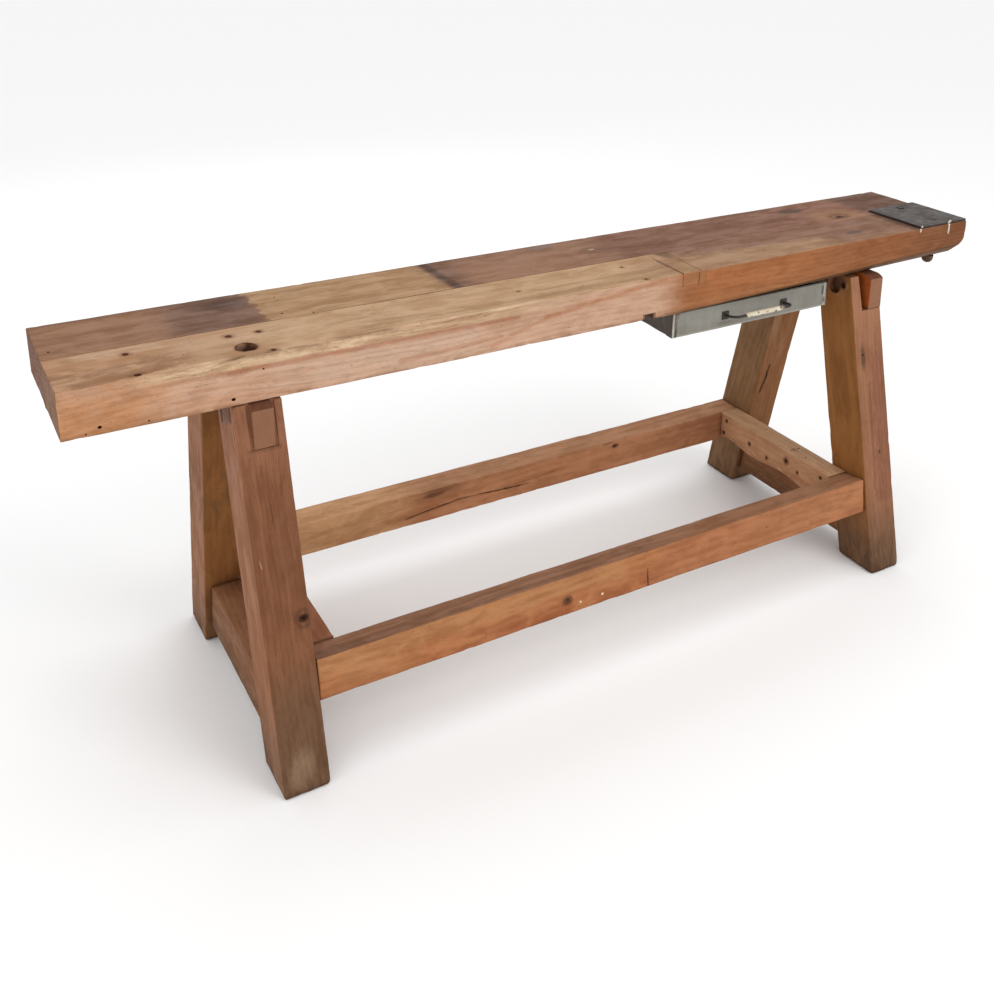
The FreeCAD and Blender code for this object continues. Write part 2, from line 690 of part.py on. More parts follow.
DRAWER_RIGHT = RIGHT.inner_face - DRAWER_LEG_GAP
DRAWER_LEFT = DRAWER_RIGHT - DRAWER_WIDTH
DRAWER_CENTRE_X = (DRAWER_LEFT + DRAWER_RIGHT) / 2
DRAWER_FRONT = FRONT_FACE + DRAWER_SETBACK
DRAWER_BACK = DRAWER_FRONT + DRAWER_DEPTH
DRAWER_BOTTOM = UNDERSIDE_HEIGHT - DRAWER_BOTTOM_DROP
DRAWER_TOP = UNDERSIDE_HEIGHT - DRAWER_TOP_GAP
TRAY_FRONT = DRAWER_FRONT + DRAWER_SHEET
TRAY_BOTTOM = DRAWER_BOTTOM + DRAWER_SHEET
TRAY_TOP = UNDERSIDE_HEIGHT - TRAY_TOP_GAP
TRAY_SIDE_IN = 2 * DRAWER_SHEET
HANGER_LIP_TOP = TRAY_TOP - DRAWER_SHEET - LIP_GAP
HANGER_Y = (TRAY_FRONT + FRONT_TOP_RETURN + HANGER_FRONT_GAP, DRAWER_BACK - HANGER_BACK_INSET)
STOP_FACE = DRAWER_BACK - DRAWER_SHEET - DRAWER_TRAVEL - STOP_GAP


def mirrored(shape):
    """Copy of a shape on the other side of the drawer's middle."""
    return shape.mirror(vector(DRAWER_CENTRE_X, 0, 0), vector(1, 0, 0))


# Hangers and stop

def hanger():
    """Left hanger: a flange on the top's underside, a web and a lip under the tray's own lip."""
    web_left = DRAWER_LEFT + TRAY_SIDE_IN + TRAY_LIP + LIP_SIDE_GAP
    web_right = web_left + HANGER_SHEET
    flange_right = web_left + HANGER_TOP_FLANGE
    lip_left = web_right - HANGER_LIP
    flange_under = UNDERSIDE_HEIGHT - HANGER_SHEET
    lip_under = HANGER_LIP_TOP - HANGER_SHEET
    outline = [(web_left, UNDERSIDE_HEIGHT), (flange_right, UNDERSIDE_HEIGHT), (flange_right, flange_under),
               (web_right, flange_under), (web_right, lip_under), (lip_left, lip_under),
               (lip_left, HANGER_LIP_TOP), (web_left, HANGER_LIP_TOP)]
    return prism_along_y(outline, HANGER_Y).cut(small_screws(SHANK_CLEARANCE))


def drawer_stop():
    """Small angle under the top, in the way of the tray's back wall."""
    x_span = (DRAWER_CENTRE_X - STOP_WIDTH / 2, DRAWER_CENTRE_X + STOP_WIDTH / 2)
    flange_z = (UNDERSIDE_HEIGHT - HANGER_SHEET, UNDERSIDE_HEIGHT)
    tongue_z = (UNDERSIDE_HEIGHT - STOP_DROP, UNDERSIDE_HEIGHT)
    flange = block(x_span, (STOP_FACE - STOP_FLANGE, STOP_FACE), flange_z)
    tongue = block(x_span, (STOP_FACE - HANGER_SHEET, STOP_FACE), tongue_z)
    return joined(flange, tongue).cut(small_screws(SHANK_CLEARANCE))


def small_screw(x, y, clearance):
    """Pan-head screw up through a flange into a plank, or with a clearance its hole."""
    seat = vector(x, y, UNDERSIDE_HEIGHT - HANGER_SHEET)
    shank = rod(seat, vector(0, 0, 1), SMALL_SCREW_RADIUS + clearance, SMALL_SCREW_LENGTH + clearance)
    if clearance:
        return shank
    return joined(shank, rod(seat, vector(0, 0, -1), SMALL_SCREW_HEAD_RADIUS, SMALL_SCREW_HEAD_HEIGHT))


def hanger_screw_places():
    """Plan places of the six hanger screws."""
    from_side = TRAY_SIDE_IN + TRAY_LIP + LIP_SIDE_GAP + (HANGER_TOP_FLANGE + HANGER_SHEET) / 2
    places = []
    for x in (DRAWER_LEFT + from_side, DRAWER_RIGHT - from_side):
        for share in HANGER_SCREW_SHARES:
            places.append((x, HANGER_Y[0] + (HANGER_Y[1] - HANGER_Y[0]) * share))
    return places


def stop_screw_place():
    """Plan place of the stop's screw."""
    return (DRAWER_CENTRE_X, STOP_FACE - (STOP_FLANGE + HANGER_SHEET) / 2)


def small_screws(clearance):
    """Every small screw under the top."""
    return [small_screw(x, y, clearance) for x, y in hanger_screw_places() + [stop_screw_place()]]


# Drawer

def rivets(clearance):
    """Rivets through the front's lower return and the tray's bottom, or their holes."""
    pieces = []
    y = TRAY_FRONT + FRONT_BOTTOM_RETURN / 2
    for share in RIVET_X_SHARES:
        foot = vector(DRAWER_CENTRE_X + DRAWER_WIDTH * share, y, DRAWER_BOTTOM)
        up = vector(0, 0, 1)
        shank = rod(foot, up, RIVET_RADIUS + clearance, 2 * DRAWER_SHEET)
        if clearance:
            pieces.append(shank)
            continue
        head = rod(foot, vector(0, 0, -1), RIVET_HEAD_RADIUS, RIVET_HEAD_HEIGHT)
        tail = rod(foot + up * (2 * DRAWER_SHEET), up, RIVET_HEAD_RADIUS, RIVET_HEAD_HEIGHT)
        pieces.append(joined(shank, head, tail))
    return pieces


def drawer_tray():
    """Open tray of thin sheet; its sides end in lips turned inwards over the hangers."""
    outer_left = DRAWER_LEFT + DRAWER_SHEET
    outer_right = DRAWER_RIGHT - DRAWER_SHEET
    y_span = (TRAY_FRONT, DRAWER_BACK)
    floor = block((outer_left, outer_right), y_span, (TRAY_BOTTOM, TRAY_BOTTOM + DRAWER_SHEET))
    side = block((outer_left, outer_left + DRAWER_SHEET), y_span, (TRAY_BOTTOM, TRAY_TOP))
    lip_x = (outer_left, DRAWER_LEFT + TRAY_SIDE_IN + TRAY_LIP)
    lip_y = (HANGER_Y[0], DRAWER_BACK)
    lip = block(lip_x, lip_y, (TRAY_TOP - DRAWER_SHEET, TRAY_TOP))
    wall_z = (TRAY_BOTTOM, TRAY_BOTTOM + TRAY_END_WALL_HEIGHT)
    front_wall = block((outer_left, outer_right), (TRAY_FRONT, TRAY_FRONT + DRAWER_SHEET), wall_z)
    back_wall = block((outer_left, outer_right), (DRAWER_BACK - DRAWER_SHEET, DRAWER_BACK), wall_z)
    tray = joined(floor, side, mirrored(side), lip, mirrored(lip), front_wall, back_wall)
    return tray.cut(rivets(SHANK_CLEARANCE) + handle_screws(SHANK_CLEARANCE))


def drawer_front():
    """Folded front: a face with returns along its top, its bottom and both ends."""
    z_span = (DRAWER_BOTTOM, DRAWER_TOP)
    face = block((DRAWER_LEFT, DRAWER_RIGHT), (DRAWER_FRONT, TRAY_FRONT), z_span)
    end_y = (DRAWER_FRONT, TRAY_FRONT + FRONT_SIDE_RETURN)
    end = block((DRAWER_LEFT, DRAWER_LEFT + DRAWER_SHEET), end_y, z_span)
    top = block((DRAWER_LEFT, DRAWER_RIGHT), (DRAWER_FRONT, TRAY_FRONT + FRONT_TOP_RETURN),
                (DRAWER_TOP - DRAWER_SHEET, DRAWER_TOP))
    bottom = block((DRAWER_LEFT, DRAWER_RIGHT), (DRAWER_FRONT, TRAY_FRONT + FRONT_BOTTOM_RETURN),
                   (DRAWER_BOTTOM, TRAY_BOTTOM))
    front = joined(face, end, mirrored(end), top, bottom)
    return front.cut(rivets(SHANK_CLEARANCE) + handle_screws(SHANK_CLEARANCE))


# Handle

HANDLE_X = (DRAWER_CENTRE_X + HANDLE_OFFSET - HANDLE_SPACING / 2,
            DRAWER_CENTRE_X + HANDLE_OFFSET + HANDLE_SPACING / 2)
HANDLE_FOOT_FACE = DRAWER_FRONT - HANDLE_FOOT_THICKNESS
HANDLE_HEIGHT = DRAWER_BOTTOM + HANDLE_ABOVE_BOTTOM


def handle_feet():
    """Square plates between the drawer's front and the handle's rod."""
    half = HANDLE_FOOT_WIDTH / 2
    y_span = (HANDLE_FOOT_FACE, DRAWER_FRONT)
    z_span = (HANDLE_HEIGHT - half, HANDLE_HEIGHT + half)
    feet = [block((x - half, x + half), y_span, z_span) for x in HANDLE_X]
    return [foot.cut(handle_screws(SHANK_CLEARANCE)) for foot in feet]


def handle_screws(clearance):
    """Screws from inside the tray into the rod's ends, or with a clearance their holes."""
    seat = TRAY_FRONT + DRAWER_SHEET
    length = seat - HANDLE_FOOT_FACE + HANDLE_SCREW_BITE
    screws = []
    for x in HANDLE_X:
        start = vector(x, seat, HANDLE_HEIGHT)
        shank = rod(start, vector(0, -1, 0), HANDLE_SCREW_RADIUS + clearance, length + clearance)
        head = rod(start, vector(0, 1, 0), HANDLE_SCREW_HEAD_RADIUS, HANDLE_SCREW_HEAD_HEIGHT)
        screws.append(shank if clearance else joined(shank, head))
    return screws


def bow_point(x, out):
    """Point of the handle's axis at a distance out from the feet; the bow lifts as it goes out."""
    lift = math.tan(math.radians(HANDLE_LIFT_DEG)) * out
    return vector(x, HANDLE_FOOT_FACE - out, HANDLE_HEIGHT + lift)


def bend_points(x, inward):
    """Start, middle and end of the bend at one end of the bow."""
    straight = HANDLE_PROJECTION - HANDLE_BEND_RADIUS
    diagonal_share = math.sqrt(0.5)
    start = bow_point(x, straight)
    middle = bow_point(x + inward * HANDLE_BEND_RADIUS * (1 - diagonal_share),
                       straight + HANDLE_BEND_RADIUS * diagonal_share)
    end = bow_point(x + inward * HANDLE_BEND_RADIUS, HANDLE_PROJECTION)
    return start, middle, end


def handle_bow():
    """Round rod bent to a bow, its ends cut flat on the feet."""
    left = bend_points(HANDLE_X[0], 1)
    right = bend_points(HANDLE_X[1], -1)
    left_foot = bow_point(HANDLE_X[0], -OVERRUN)
    right_foot = bow_point(HANDLE_X[1], -OVERRUN)
    edges = [Part.LineSegment(left_foot, left[0]).toShape(), Part.Arc(*left).toShape(),
             Part.LineSegment(left[2], right[2]).toShape(), Part.Arc(*reversed(right)).toShape(),
             Part.LineSegment(right[0], right_foot).toShape()]
    ring = Part.Wire(Part.makeCircle(HANDLE_ROD_RADIUS, left_foot, left[0] - left_foot))
    pipe = Part.Wire(edges).makePipeShell([ring], True, False)
    behind = block((HANDLE_X[0] - HANDLE_FOOT_WIDTH, HANDLE_X[1] + HANDLE_FOOT_WIDTH),
                   (HANDLE_FOOT_FACE, HANDLE_FOOT_FACE + HANDLE_FOOT_WIDTH),
                   (HANDLE_HEIGHT - HANDLE_FOOT_WIDTH, HANDLE_HEIGHT + HANDLE_FOOT_WIDTH))
    return pipe.cut([behind] + handle_screws(SHANK_CLEARANCE))


def handle_grip():
    """Sleeve on the straight of the bow."""
    axis_point = bow_point(DRAWER_CENTRE_X + HANDLE_OFFSET - GRIP_LENGTH / 2, HANDLE_PROJECTION)
    along = vector(1, 0, 0)
    bore = rod(axis_point, along, HANDLE_ROD_RADIUS + GRIP_BORE_CLEARANCE, GRIP_LENGTH)
    return rod(axis_point, along, GRIP_RADIUS, GRIP_LENGTH).cut(bore)


# Every piece by name

def pieces():
    """Name and solids of each piece."""
    found = {
        "top_front_plank": [top_front_plank()],
        "top_back_plank": [top_back_plank()],
        "top_joint_dowels": joint_dowels(0),
        "top_patch": [top_patch()],
        "end_plate": [end_plate()],
        "end_plate_bolts": plate_bolts(0),
        "end_plate_dome_nuts": dome_nuts(),
        "top_hold_down_screw": [top_screw(0)],
        "bearer_coach_screws": coach_screws(0),
        "front_stretcher": [stretcher(FRONT)],
        "back_stretcher": [stretcher(BACK)],
        "left_drawer_hanger": [hanger()],
        "right_drawer_hanger": [mirrored(hanger())],
        "drawer_stop": [drawer_stop()],
        "drawer_hanger_screws": [small_screw(x, y, 0) for x, y in hanger_screw_places()],
        "drawer_stop_screw": [small_screw(*stop_screw_place(), 0)],
        "drawer_tray": [drawer_tray()],
        "drawer_front": [drawer_front()],
        "drawer_rivets": rivets(0),
        "handle_feet": handle_feet(),
        "handle_bow": [handle_bow()],
        "handle_grip": [handle_grip()],
        "handle_screws": handle_screws(0),
    }
    for name, trestle in TRESTLES.items():
        found["front_" + name + "_leg"] = [leg(trestle, FRONT)]
        found["back_" + name + "_leg"] = [leg(trestle, BACK)]
        found[name + "_bearer"] = [bearer(trestle)]
        found[name + "_bearer_pegs"] = pegs(trestle)
        found[name + "_foot_rail"] = [foot_rail(trestle)]
        found[name + "_batten"] = [batten(trestle)]
        found[name + "_batten_nails"] = nails(trestle, 0)
    return found


def main():
    """Write one file per piece."""
    os.makedirs("parts", exist_ok=True)
    for name, solids in pieces().items():
        shape = solids[0] if len(solids) == 1 else Part.makeCompound(solids)
        shape.exportStep(os.path.join("parts", name + ".step"))
        print(name, len(shape.Solids), round(shape.Volume))


main()
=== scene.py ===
"""Looks of the joiner's bench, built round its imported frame.

Metres. +X runs to the right along the bench, +Y to the back and +Z up, with the origin on
the floor under the middle of the top.
"""
import itertools
import logging
import math
from dataclasses import dataclass, field
from enum import Enum
from typing import Any, Optional, Sequence, Union

import bmesh
import bpy
import numpy as np
from mathutils import Matrix, Vector


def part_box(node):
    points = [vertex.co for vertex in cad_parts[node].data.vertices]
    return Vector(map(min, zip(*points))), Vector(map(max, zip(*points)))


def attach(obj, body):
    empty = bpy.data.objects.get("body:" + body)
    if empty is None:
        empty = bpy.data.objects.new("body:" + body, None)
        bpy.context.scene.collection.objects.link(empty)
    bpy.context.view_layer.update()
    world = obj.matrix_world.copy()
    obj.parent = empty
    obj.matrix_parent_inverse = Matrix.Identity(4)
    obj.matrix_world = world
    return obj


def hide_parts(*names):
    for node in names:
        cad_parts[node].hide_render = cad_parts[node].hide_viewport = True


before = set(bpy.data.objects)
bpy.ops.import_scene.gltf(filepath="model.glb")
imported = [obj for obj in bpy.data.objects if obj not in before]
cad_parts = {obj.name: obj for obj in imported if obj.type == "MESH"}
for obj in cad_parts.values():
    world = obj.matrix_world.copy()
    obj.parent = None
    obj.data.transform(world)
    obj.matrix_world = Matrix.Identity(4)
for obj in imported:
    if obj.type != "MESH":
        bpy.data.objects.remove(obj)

LOG = logging.getLogger("bench")
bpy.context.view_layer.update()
Place = tuple[float, float, float]
Points = np.ndarray
Values = np.ndarray
Socket = Any

BENCH = "bench"
DRAWER = "drawer"

# Driving places of the bench, read from the frame
TOP_LOW, TOP_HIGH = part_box("top_back_plank")
TOP = TOP_HIGH.z
FRONT_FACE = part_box("top_front_plank")[0].y
RIGHT_END = TOP_HIGH.x
LEFT_END = TOP_LOW.x
FOOT_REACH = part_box("back_left_leg")[1].y
LEAN = math.radians(13.0)
LEG_DEPTH = 0.106 / math.cos(LEAN)
TENON = 0.045

# Distance that every skin keeps inside its solid in the frame
SKIN_INSET = 0.00006
SHARP_ANGLE = math.radians(38.0)


# Numbers that look random and repeat each run

def cell_values(cells: np.ndarray, seed: int) -> Values:
    """Give each whole-numbered cell a repeatable value.

    Args:
        cells: Whole numbers, three to a row.
        seed: Picks one set of values.

    Returns:
        One value from 0 to 1 for each row.
    """
    mixed = cells.astype(np.int64) @ np.array((73856093, 19349663, 83492791)) + seed * 1013904223
    mixed = ((mixed ^ (mixed >> 13)) * 1274126177) & 0xFFFFFFFF
    mixed = ((mixed ^ (mixed >> 15)) * 2246822519) & 0xFFFFFFFF
    return ((mixed ^ (mixed >> 16)) & 0xFFFF) / 0xFFFF


def single_noise(points: Points, seed: int) -> Values:
    """Smooth noise with features one unit apart.

    Args:
        points: Places, three numbers to a row.
        seed: Picks one pattern.

    Returns:
        One value from 0 to 1 for each place.
    """
    cell = np.floor(points)
    part = points - cell
    part = part * part * (3 - 2 * part)
    total = np.zeros(len(points))
    for corner in itertools.product((0, 1), repeat=3):
        step = np.array(corner)
        weight = np.prod(np.where(step, part, 1 - part), axis=1)
        total += weight * cell_values(cell + step, seed)
    return total


def noise(points: Points, size: Union[float, Place], seed: int, octaves: int = 2) -> Values:
    """Smooth noise in several sizes, each half the last.

    Args:
        points: Places, three numbers to a row.
        size: Distance between the largest features, one for all axes or one for each.
        seed: Picks one pattern.
        octaves: How many sizes.

    Returns:
        One value from 0 to 1 for each place.
    """
    scaled = points / np.asarray(size)
    total = np.zeros(len(points))
    weights = 0.0
    for octave in range(octaves):
        weight = 0.5 ** octave
        total += weight * single_noise(scaled * 2 ** octave + 31.7 * octave, seed + octave)
        weights += weight
    return total / weights


def ease(values: Values, low: float, high: float) -> Values:
    """Rise smoothly from 0 at low to 1 at high."""
    share = np.clip((values - low) / (high - low), 0, 1)
    return share * share * (3 - 2 * share)


# Meshes

def lattice_lines(length: float, step: float, rows: Sequence[float]) -> np.ndarray:
    """Places of lattice lines along one side, close together near both ends.

    Args:
        length: Length of the side.
        step: Distance between lines in the middle.
        rows: Distances of the first lines from an end.

    Returns:
        Rising distances from 0 to the length.
    """
    near = np.array([row for row in rows if row < 0.42 * length])
    count = max(2, math.ceil((length - 2 * near[-1]) / step) + 1)
    middle = np.linspace(near[-1], length - near[-1], count)
    return np.concatenate((near, middle[1:-1], length - near[::-1]))


def grid_faces(grid: np.ndarray, flip: bool) -> np.ndarray:
    """Four-cornered faces over a grid of vertex numbers, turned over if asked."""
    faces = np.stack((grid[:-1, :-1], grid[1:, :-1], grid[1:, 1:], grid[:-1, 1:]), axis=-1).reshape(-1, 4)
    return faces[:, ::-1] if flip else faces


def lattice_box(lines: Sequence[np.ndarray]) -> tuple[Points, np.ndarray]:
    """Closed box whose faces are lattices.

    Args:
        lines: Places of the lattice lines along the three sides.

    Returns:
        Vertices and four-cornered faces that look outwards.
    """
    counts = [len(line) for line in lines]
    inside = np.zeros(counts, bool)
    inside[1:-1, 1:-1, 1:-1] = True
    numbers = np.full(counts, -1)
    numbers[~inside] = np.arange((~inside).sum())
    mesh = np.stack(np.meshgrid(*lines, indexing="ij"), axis=-1)[~inside]
    faces = [
        grid_faces(numbers[0], True), grid_faces(numbers[-1], False),
        grid_faces(numbers[:, 0], False), grid_faces(numbers[:, -1], True),
        grid_faces(numbers[:, :, 0], True), grid_faces(numbers[:, :, -1], False),
    ]
    return mesh, np.concatenate(faces)


def new_object(name: str, points: Points, faces: Sequence[Sequence[int]],
               closed: bool = True) -> bpy.types.Object:
    """Object in the scene from vertices and faces.

    Args:
        name: Name of the object.
        points: Vertices, three numbers to a row.
        faces: Vertex numbers of each face.
        closed: Whether it is a closed shape, whose faces are then turned outwards.

    Returns:
        The object.
    """
    mesh = bpy.data.meshes.new(name)
    mesh.from_pydata(np.asarray(points).tolist(), [], [tuple(int(i) for i in face) for face in faces])
    if closed:
        shape = bmesh.new()
        shape.from_mesh(mesh)
        bmesh.ops.recalc_face_normals(shape, faces=shape.faces)
        shape.to_mesh(mesh)
        shape.free()
    made = bpy.data.objects.new(name, mesh)
    bpy.context.scene.collection.objects.link(made)
    return made


def frame_copy(node: str, material: bpy.types.Material) -> bpy.types.Object:
    """Closed copy of a node of the frame, for cutting with, in a material.

    Args:
        node: Node of the frame.
        material: Material that the copy gets.

    Returns:
        The copy.
    """
    shape = bmesh.new()
    shape.from_mesh(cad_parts[node].data)
    bmesh.ops.remove_doubles(shape, verts=shape.verts, dist=1e-5)
    mesh = bpy.data.meshes.new(node + "_copy")
    shape.to_mesh(mesh)
    shape.free()
    normals = mesh.attributes.get("custom_normal")
    if normals:
        mesh.attributes.remove(normals)
    mesh.materials.clear()
    mesh.materials.append(material)
    made = bpy.data.objects.new(mesh.name, mesh)
    bpy.context.scene.collection.objects.link(made)
    return made


class Cut(Enum):
    """How one shape acts on another."""

    TAKE_AWAY = "DIFFERENCE"
    KEEP_COMMON = "INTERSECT"
    ADD = "UNION"


def combine(target: bpy.types.Object, other: bpy.types.Object, cut: Cut) -> None:
    """Let one closed shape act on another, and drop the first.

    Args:
        target: Shape that stays.
        other: Shape that acts on it and is removed.
        cut: How it acts.
    """
    modifier = target.modifiers.new("cut", "BOOLEAN")
    modifier.object = other
    modifier.operation = cut.value
    modifier.solver = "MANIFOLD"
    modifier.material_mode = "TRANSFER"
    settle_modifiers(target)
    drop(other)


def settle_modifiers(target: bpy.types.Object) -> None:
    """Turn an object's modifiers into its mesh.

    Args:
        target: Object that has them.
    """
    graph = bpy.context.evaluated_depsgraph_get()
    graph.update()
    mesh = bpy.data.meshes.new_from_object(target.evaluated_get(graph))
    old = target.data
    target.modifiers.clear()
    target.data = mesh
    bpy.data.meshes.remove(old)
    mesh.name = target.name


def drop(thing: bpy.types.Object) -> None:
    """Remove an object and its mesh.

    Args:
        thing: Object that isn't needed any more.
    """
    mesh = thing.data
    bpy.data.objects.remove(thing)
    bpy.data.meshes.remove(mesh)


@dataclass
class Shape:
    """Vertices and faces that grow piece by piece."""

    points: list = field(default_factory=list)
    faces: list = field(default_factory=list)

    def add(self, points: Sequence[Sequence[float]], faces: Sequence[Sequence[int]]) -> None:
        """Add a closed shape beside those that are there.

        Args:
            points: Its points.
            faces: Its faces, as places among the points.
        """
        start = len(self.points)
        self.points.extend(tuple(float(value) for value in point) for point in points)
        self.faces.extend(tuple(start + int(index) for index in face) for face in faces)

    def add_rings(self, rings: Sequence[Sequence[Sequence[float]]]) -> None:
        """Add a closed tube through rings of as many points each, with flat ends.

        Args:
            rings: Rings in order, each a list of points.
        """
        sides = len(rings[0])
        points = [point for ring in rings for point in ring]
        faces = []
        for row, side in itertools.product(range(len(rings) - 1), range(sides)):
            after = (side + 1) % sides
            faces.append((row * sides + side, row * sides + after,
                          (row + 1) * sides + after, (row + 1) * sides + side))
        last = (len(rings) - 1) * sides
        faces.append(tuple(range(sides))[::-1])
        faces.append(tuple(last + side for side in range(sides)))
        self.add(points, faces)

    def made(self, name: str) -> bpy.types.Object:
        """Object of all that was added."""
        return new_object(name, np.array(self.points), self.faces)


def ring_round(centre: Vector, axis: Vector, radii: Sequence[float], turn: float = 0.0,
               squeeze: float = 1.0) -> list[Vector]:
    """Points round a centre.

    Args:
        centre: Middle of the ring.
        axis: Direction that the ring looks in.
        radii: Distance of each point from the middle.
        turn: Turn of the first point, in radians.
        squeeze: Share of the radius kept in the second direction.

    Returns:
        One point for each radius.
    """
    axis = axis.normalized()
    helper = Vector((0, 0, 1)) if abs(axis.z) < 0.8 else Vector((1, 0, 0))
    first = axis.cross(helper).normalized()
    second = axis.cross(first)
    points = []
    for index, radius in enumerate(radii):
        angle = turn + math.tau * index / len(radii)
        beside = second * math.sin(angle) * radius * squeeze
        points.append(centre + first * math.cos(angle) * radius + beside)
    return points


# Marks that are cut or pressed into a timber

@dataclass(frozen=True)
class Hole:
    """Rough round hole, such as a nail's, worm's or screw's."""

    at: Place
    radius: float
    depth: float
    into: Place
    flare: float = 1.25
    squeeze: float = 1.0

    def cut(self, shape: Shape, seed: int) -> None:
        """Add the hole's hollow to a cutting shape.

        Args:
            shape: Shape that is taken out of a piece.
            seed: Start of its unevenness.
        """
        into = Vector(self.into).normalized()
        sides = 14
        turns = np.arange(sides)
        rings = []
        for level, (depth, share) in enumerate(((-0.004, self.flare * 1.1), (0.0, self.flare),
                                                (0.18, 1.0), (0.8, 0.9), (1.0, 0.45))):
            along = depth if level == 0 else depth * self.depth
            rough = cell_values(np.stack((turns, turns * 0 + level, turns * 0 + seed), axis=1), 5)
            radii = self.radius * share * (0.9 + 0.2 * rough)
            rings.append(ring_round(Vector(self.at) + into * along, into, radii, 0.0, self.squeeze))
        shape.add_rings(rings)


@dataclass(frozen=True)
class Crack:
    """Narrow open split along a line of points on a face."""

    line: tuple[Place, ...]
    width: float
    depth: float
    into: Place
    wander: float = 0.0008

    def cut(self, shape: Shape, seed: int) -> None:
        """Add the split's hollow to a cutting shape.

        Args:
            shape: Shape that is taken out of a piece.
            seed: Start of its unevenness.
        """
        into = Vector(self.into).normalized()
        corners = [Vector(point) for point in self.line]
        steps = []
        for start, end in zip(corners, corners[1:]):
            count = max(2, math.ceil((end - start).length / 0.012))
            steps.extend(start.lerp(end, index / count) for index in range(count))
        steps.append(corners[-1])
        rings = []
        for index, place in enumerate(steps):
            ahead = steps[min(index + 1, len(steps) - 1)] - steps[max(index - 1, 0)]
            side = ahead.cross(into).normalized()
            share = index / (len(steps) - 1)
            taper = min(1.0, 5 * share, 5 * (1 - share)) ** 0.6
            draw = cell_values(np.array([[index, seed, 3], [index, seed, 4]]), 9)
            half = max(0.00012, self.width / 2 * taper * (0.55 + 0.9 * draw[0]))
            middle = place + side * self.wander * (draw[1] - 0.5) * taper
            rings.append([middle - into * 0.003 - side * half * 1.5,
                          middle - into * 0.003 + side * half * 1.5,
                          middle + side * half, middle + into * self.depth * max(0.2, taper),
                          middle - side * half])
        shape.add_rings(rings)


@dataclass(frozen=True)
class Dent:
    """Shallow hollow pressed or worn into a face."""

    at: Place
    radius: Union[float, Place]
    depth: float


Carving = Union[Hole, Crack]


# Node graphs

Feed = Union[Socket, float, Sequence[float]]
Rgb = tuple[int, int, int]
Tone = tuple[float, float, float, float]

# How much brighter the studio's lamps show a colour than it is
LIGHT_GAIN = 1.28

# Materials that were made, by the names of their finishes
FINISHED: dict[str, bpy.types.Material] = {}


def tone(red: int, green: int, blue: int) -> Tone:
    """Colour that looks as asked on a screen, 0 to 255, once the studio's lamps have lit it.

    Args:
        red: Red, 0 to 255.
        green: Green, 0 to 255.
        blue: Blue, 0 to 255.

    Returns:
        The colour as the shader takes it.
    """
    linear = [(c / 255 / 12.92) if c / 255 <= 0.04045 else ((c / 255 + 0.055) / 1.055) ** 2.4
              for c in (red, green, blue)]
    return (linear[0] / LIGHT_GAIN, linear[1] / LIGHT_GAIN, linear[2] / LIGHT_GAIN, 1.0)


class Blend(Enum):
    """How a layer of colour lies on what is under it."""

    COVER = "MIX"
    STAIN = "MULTIPLY"


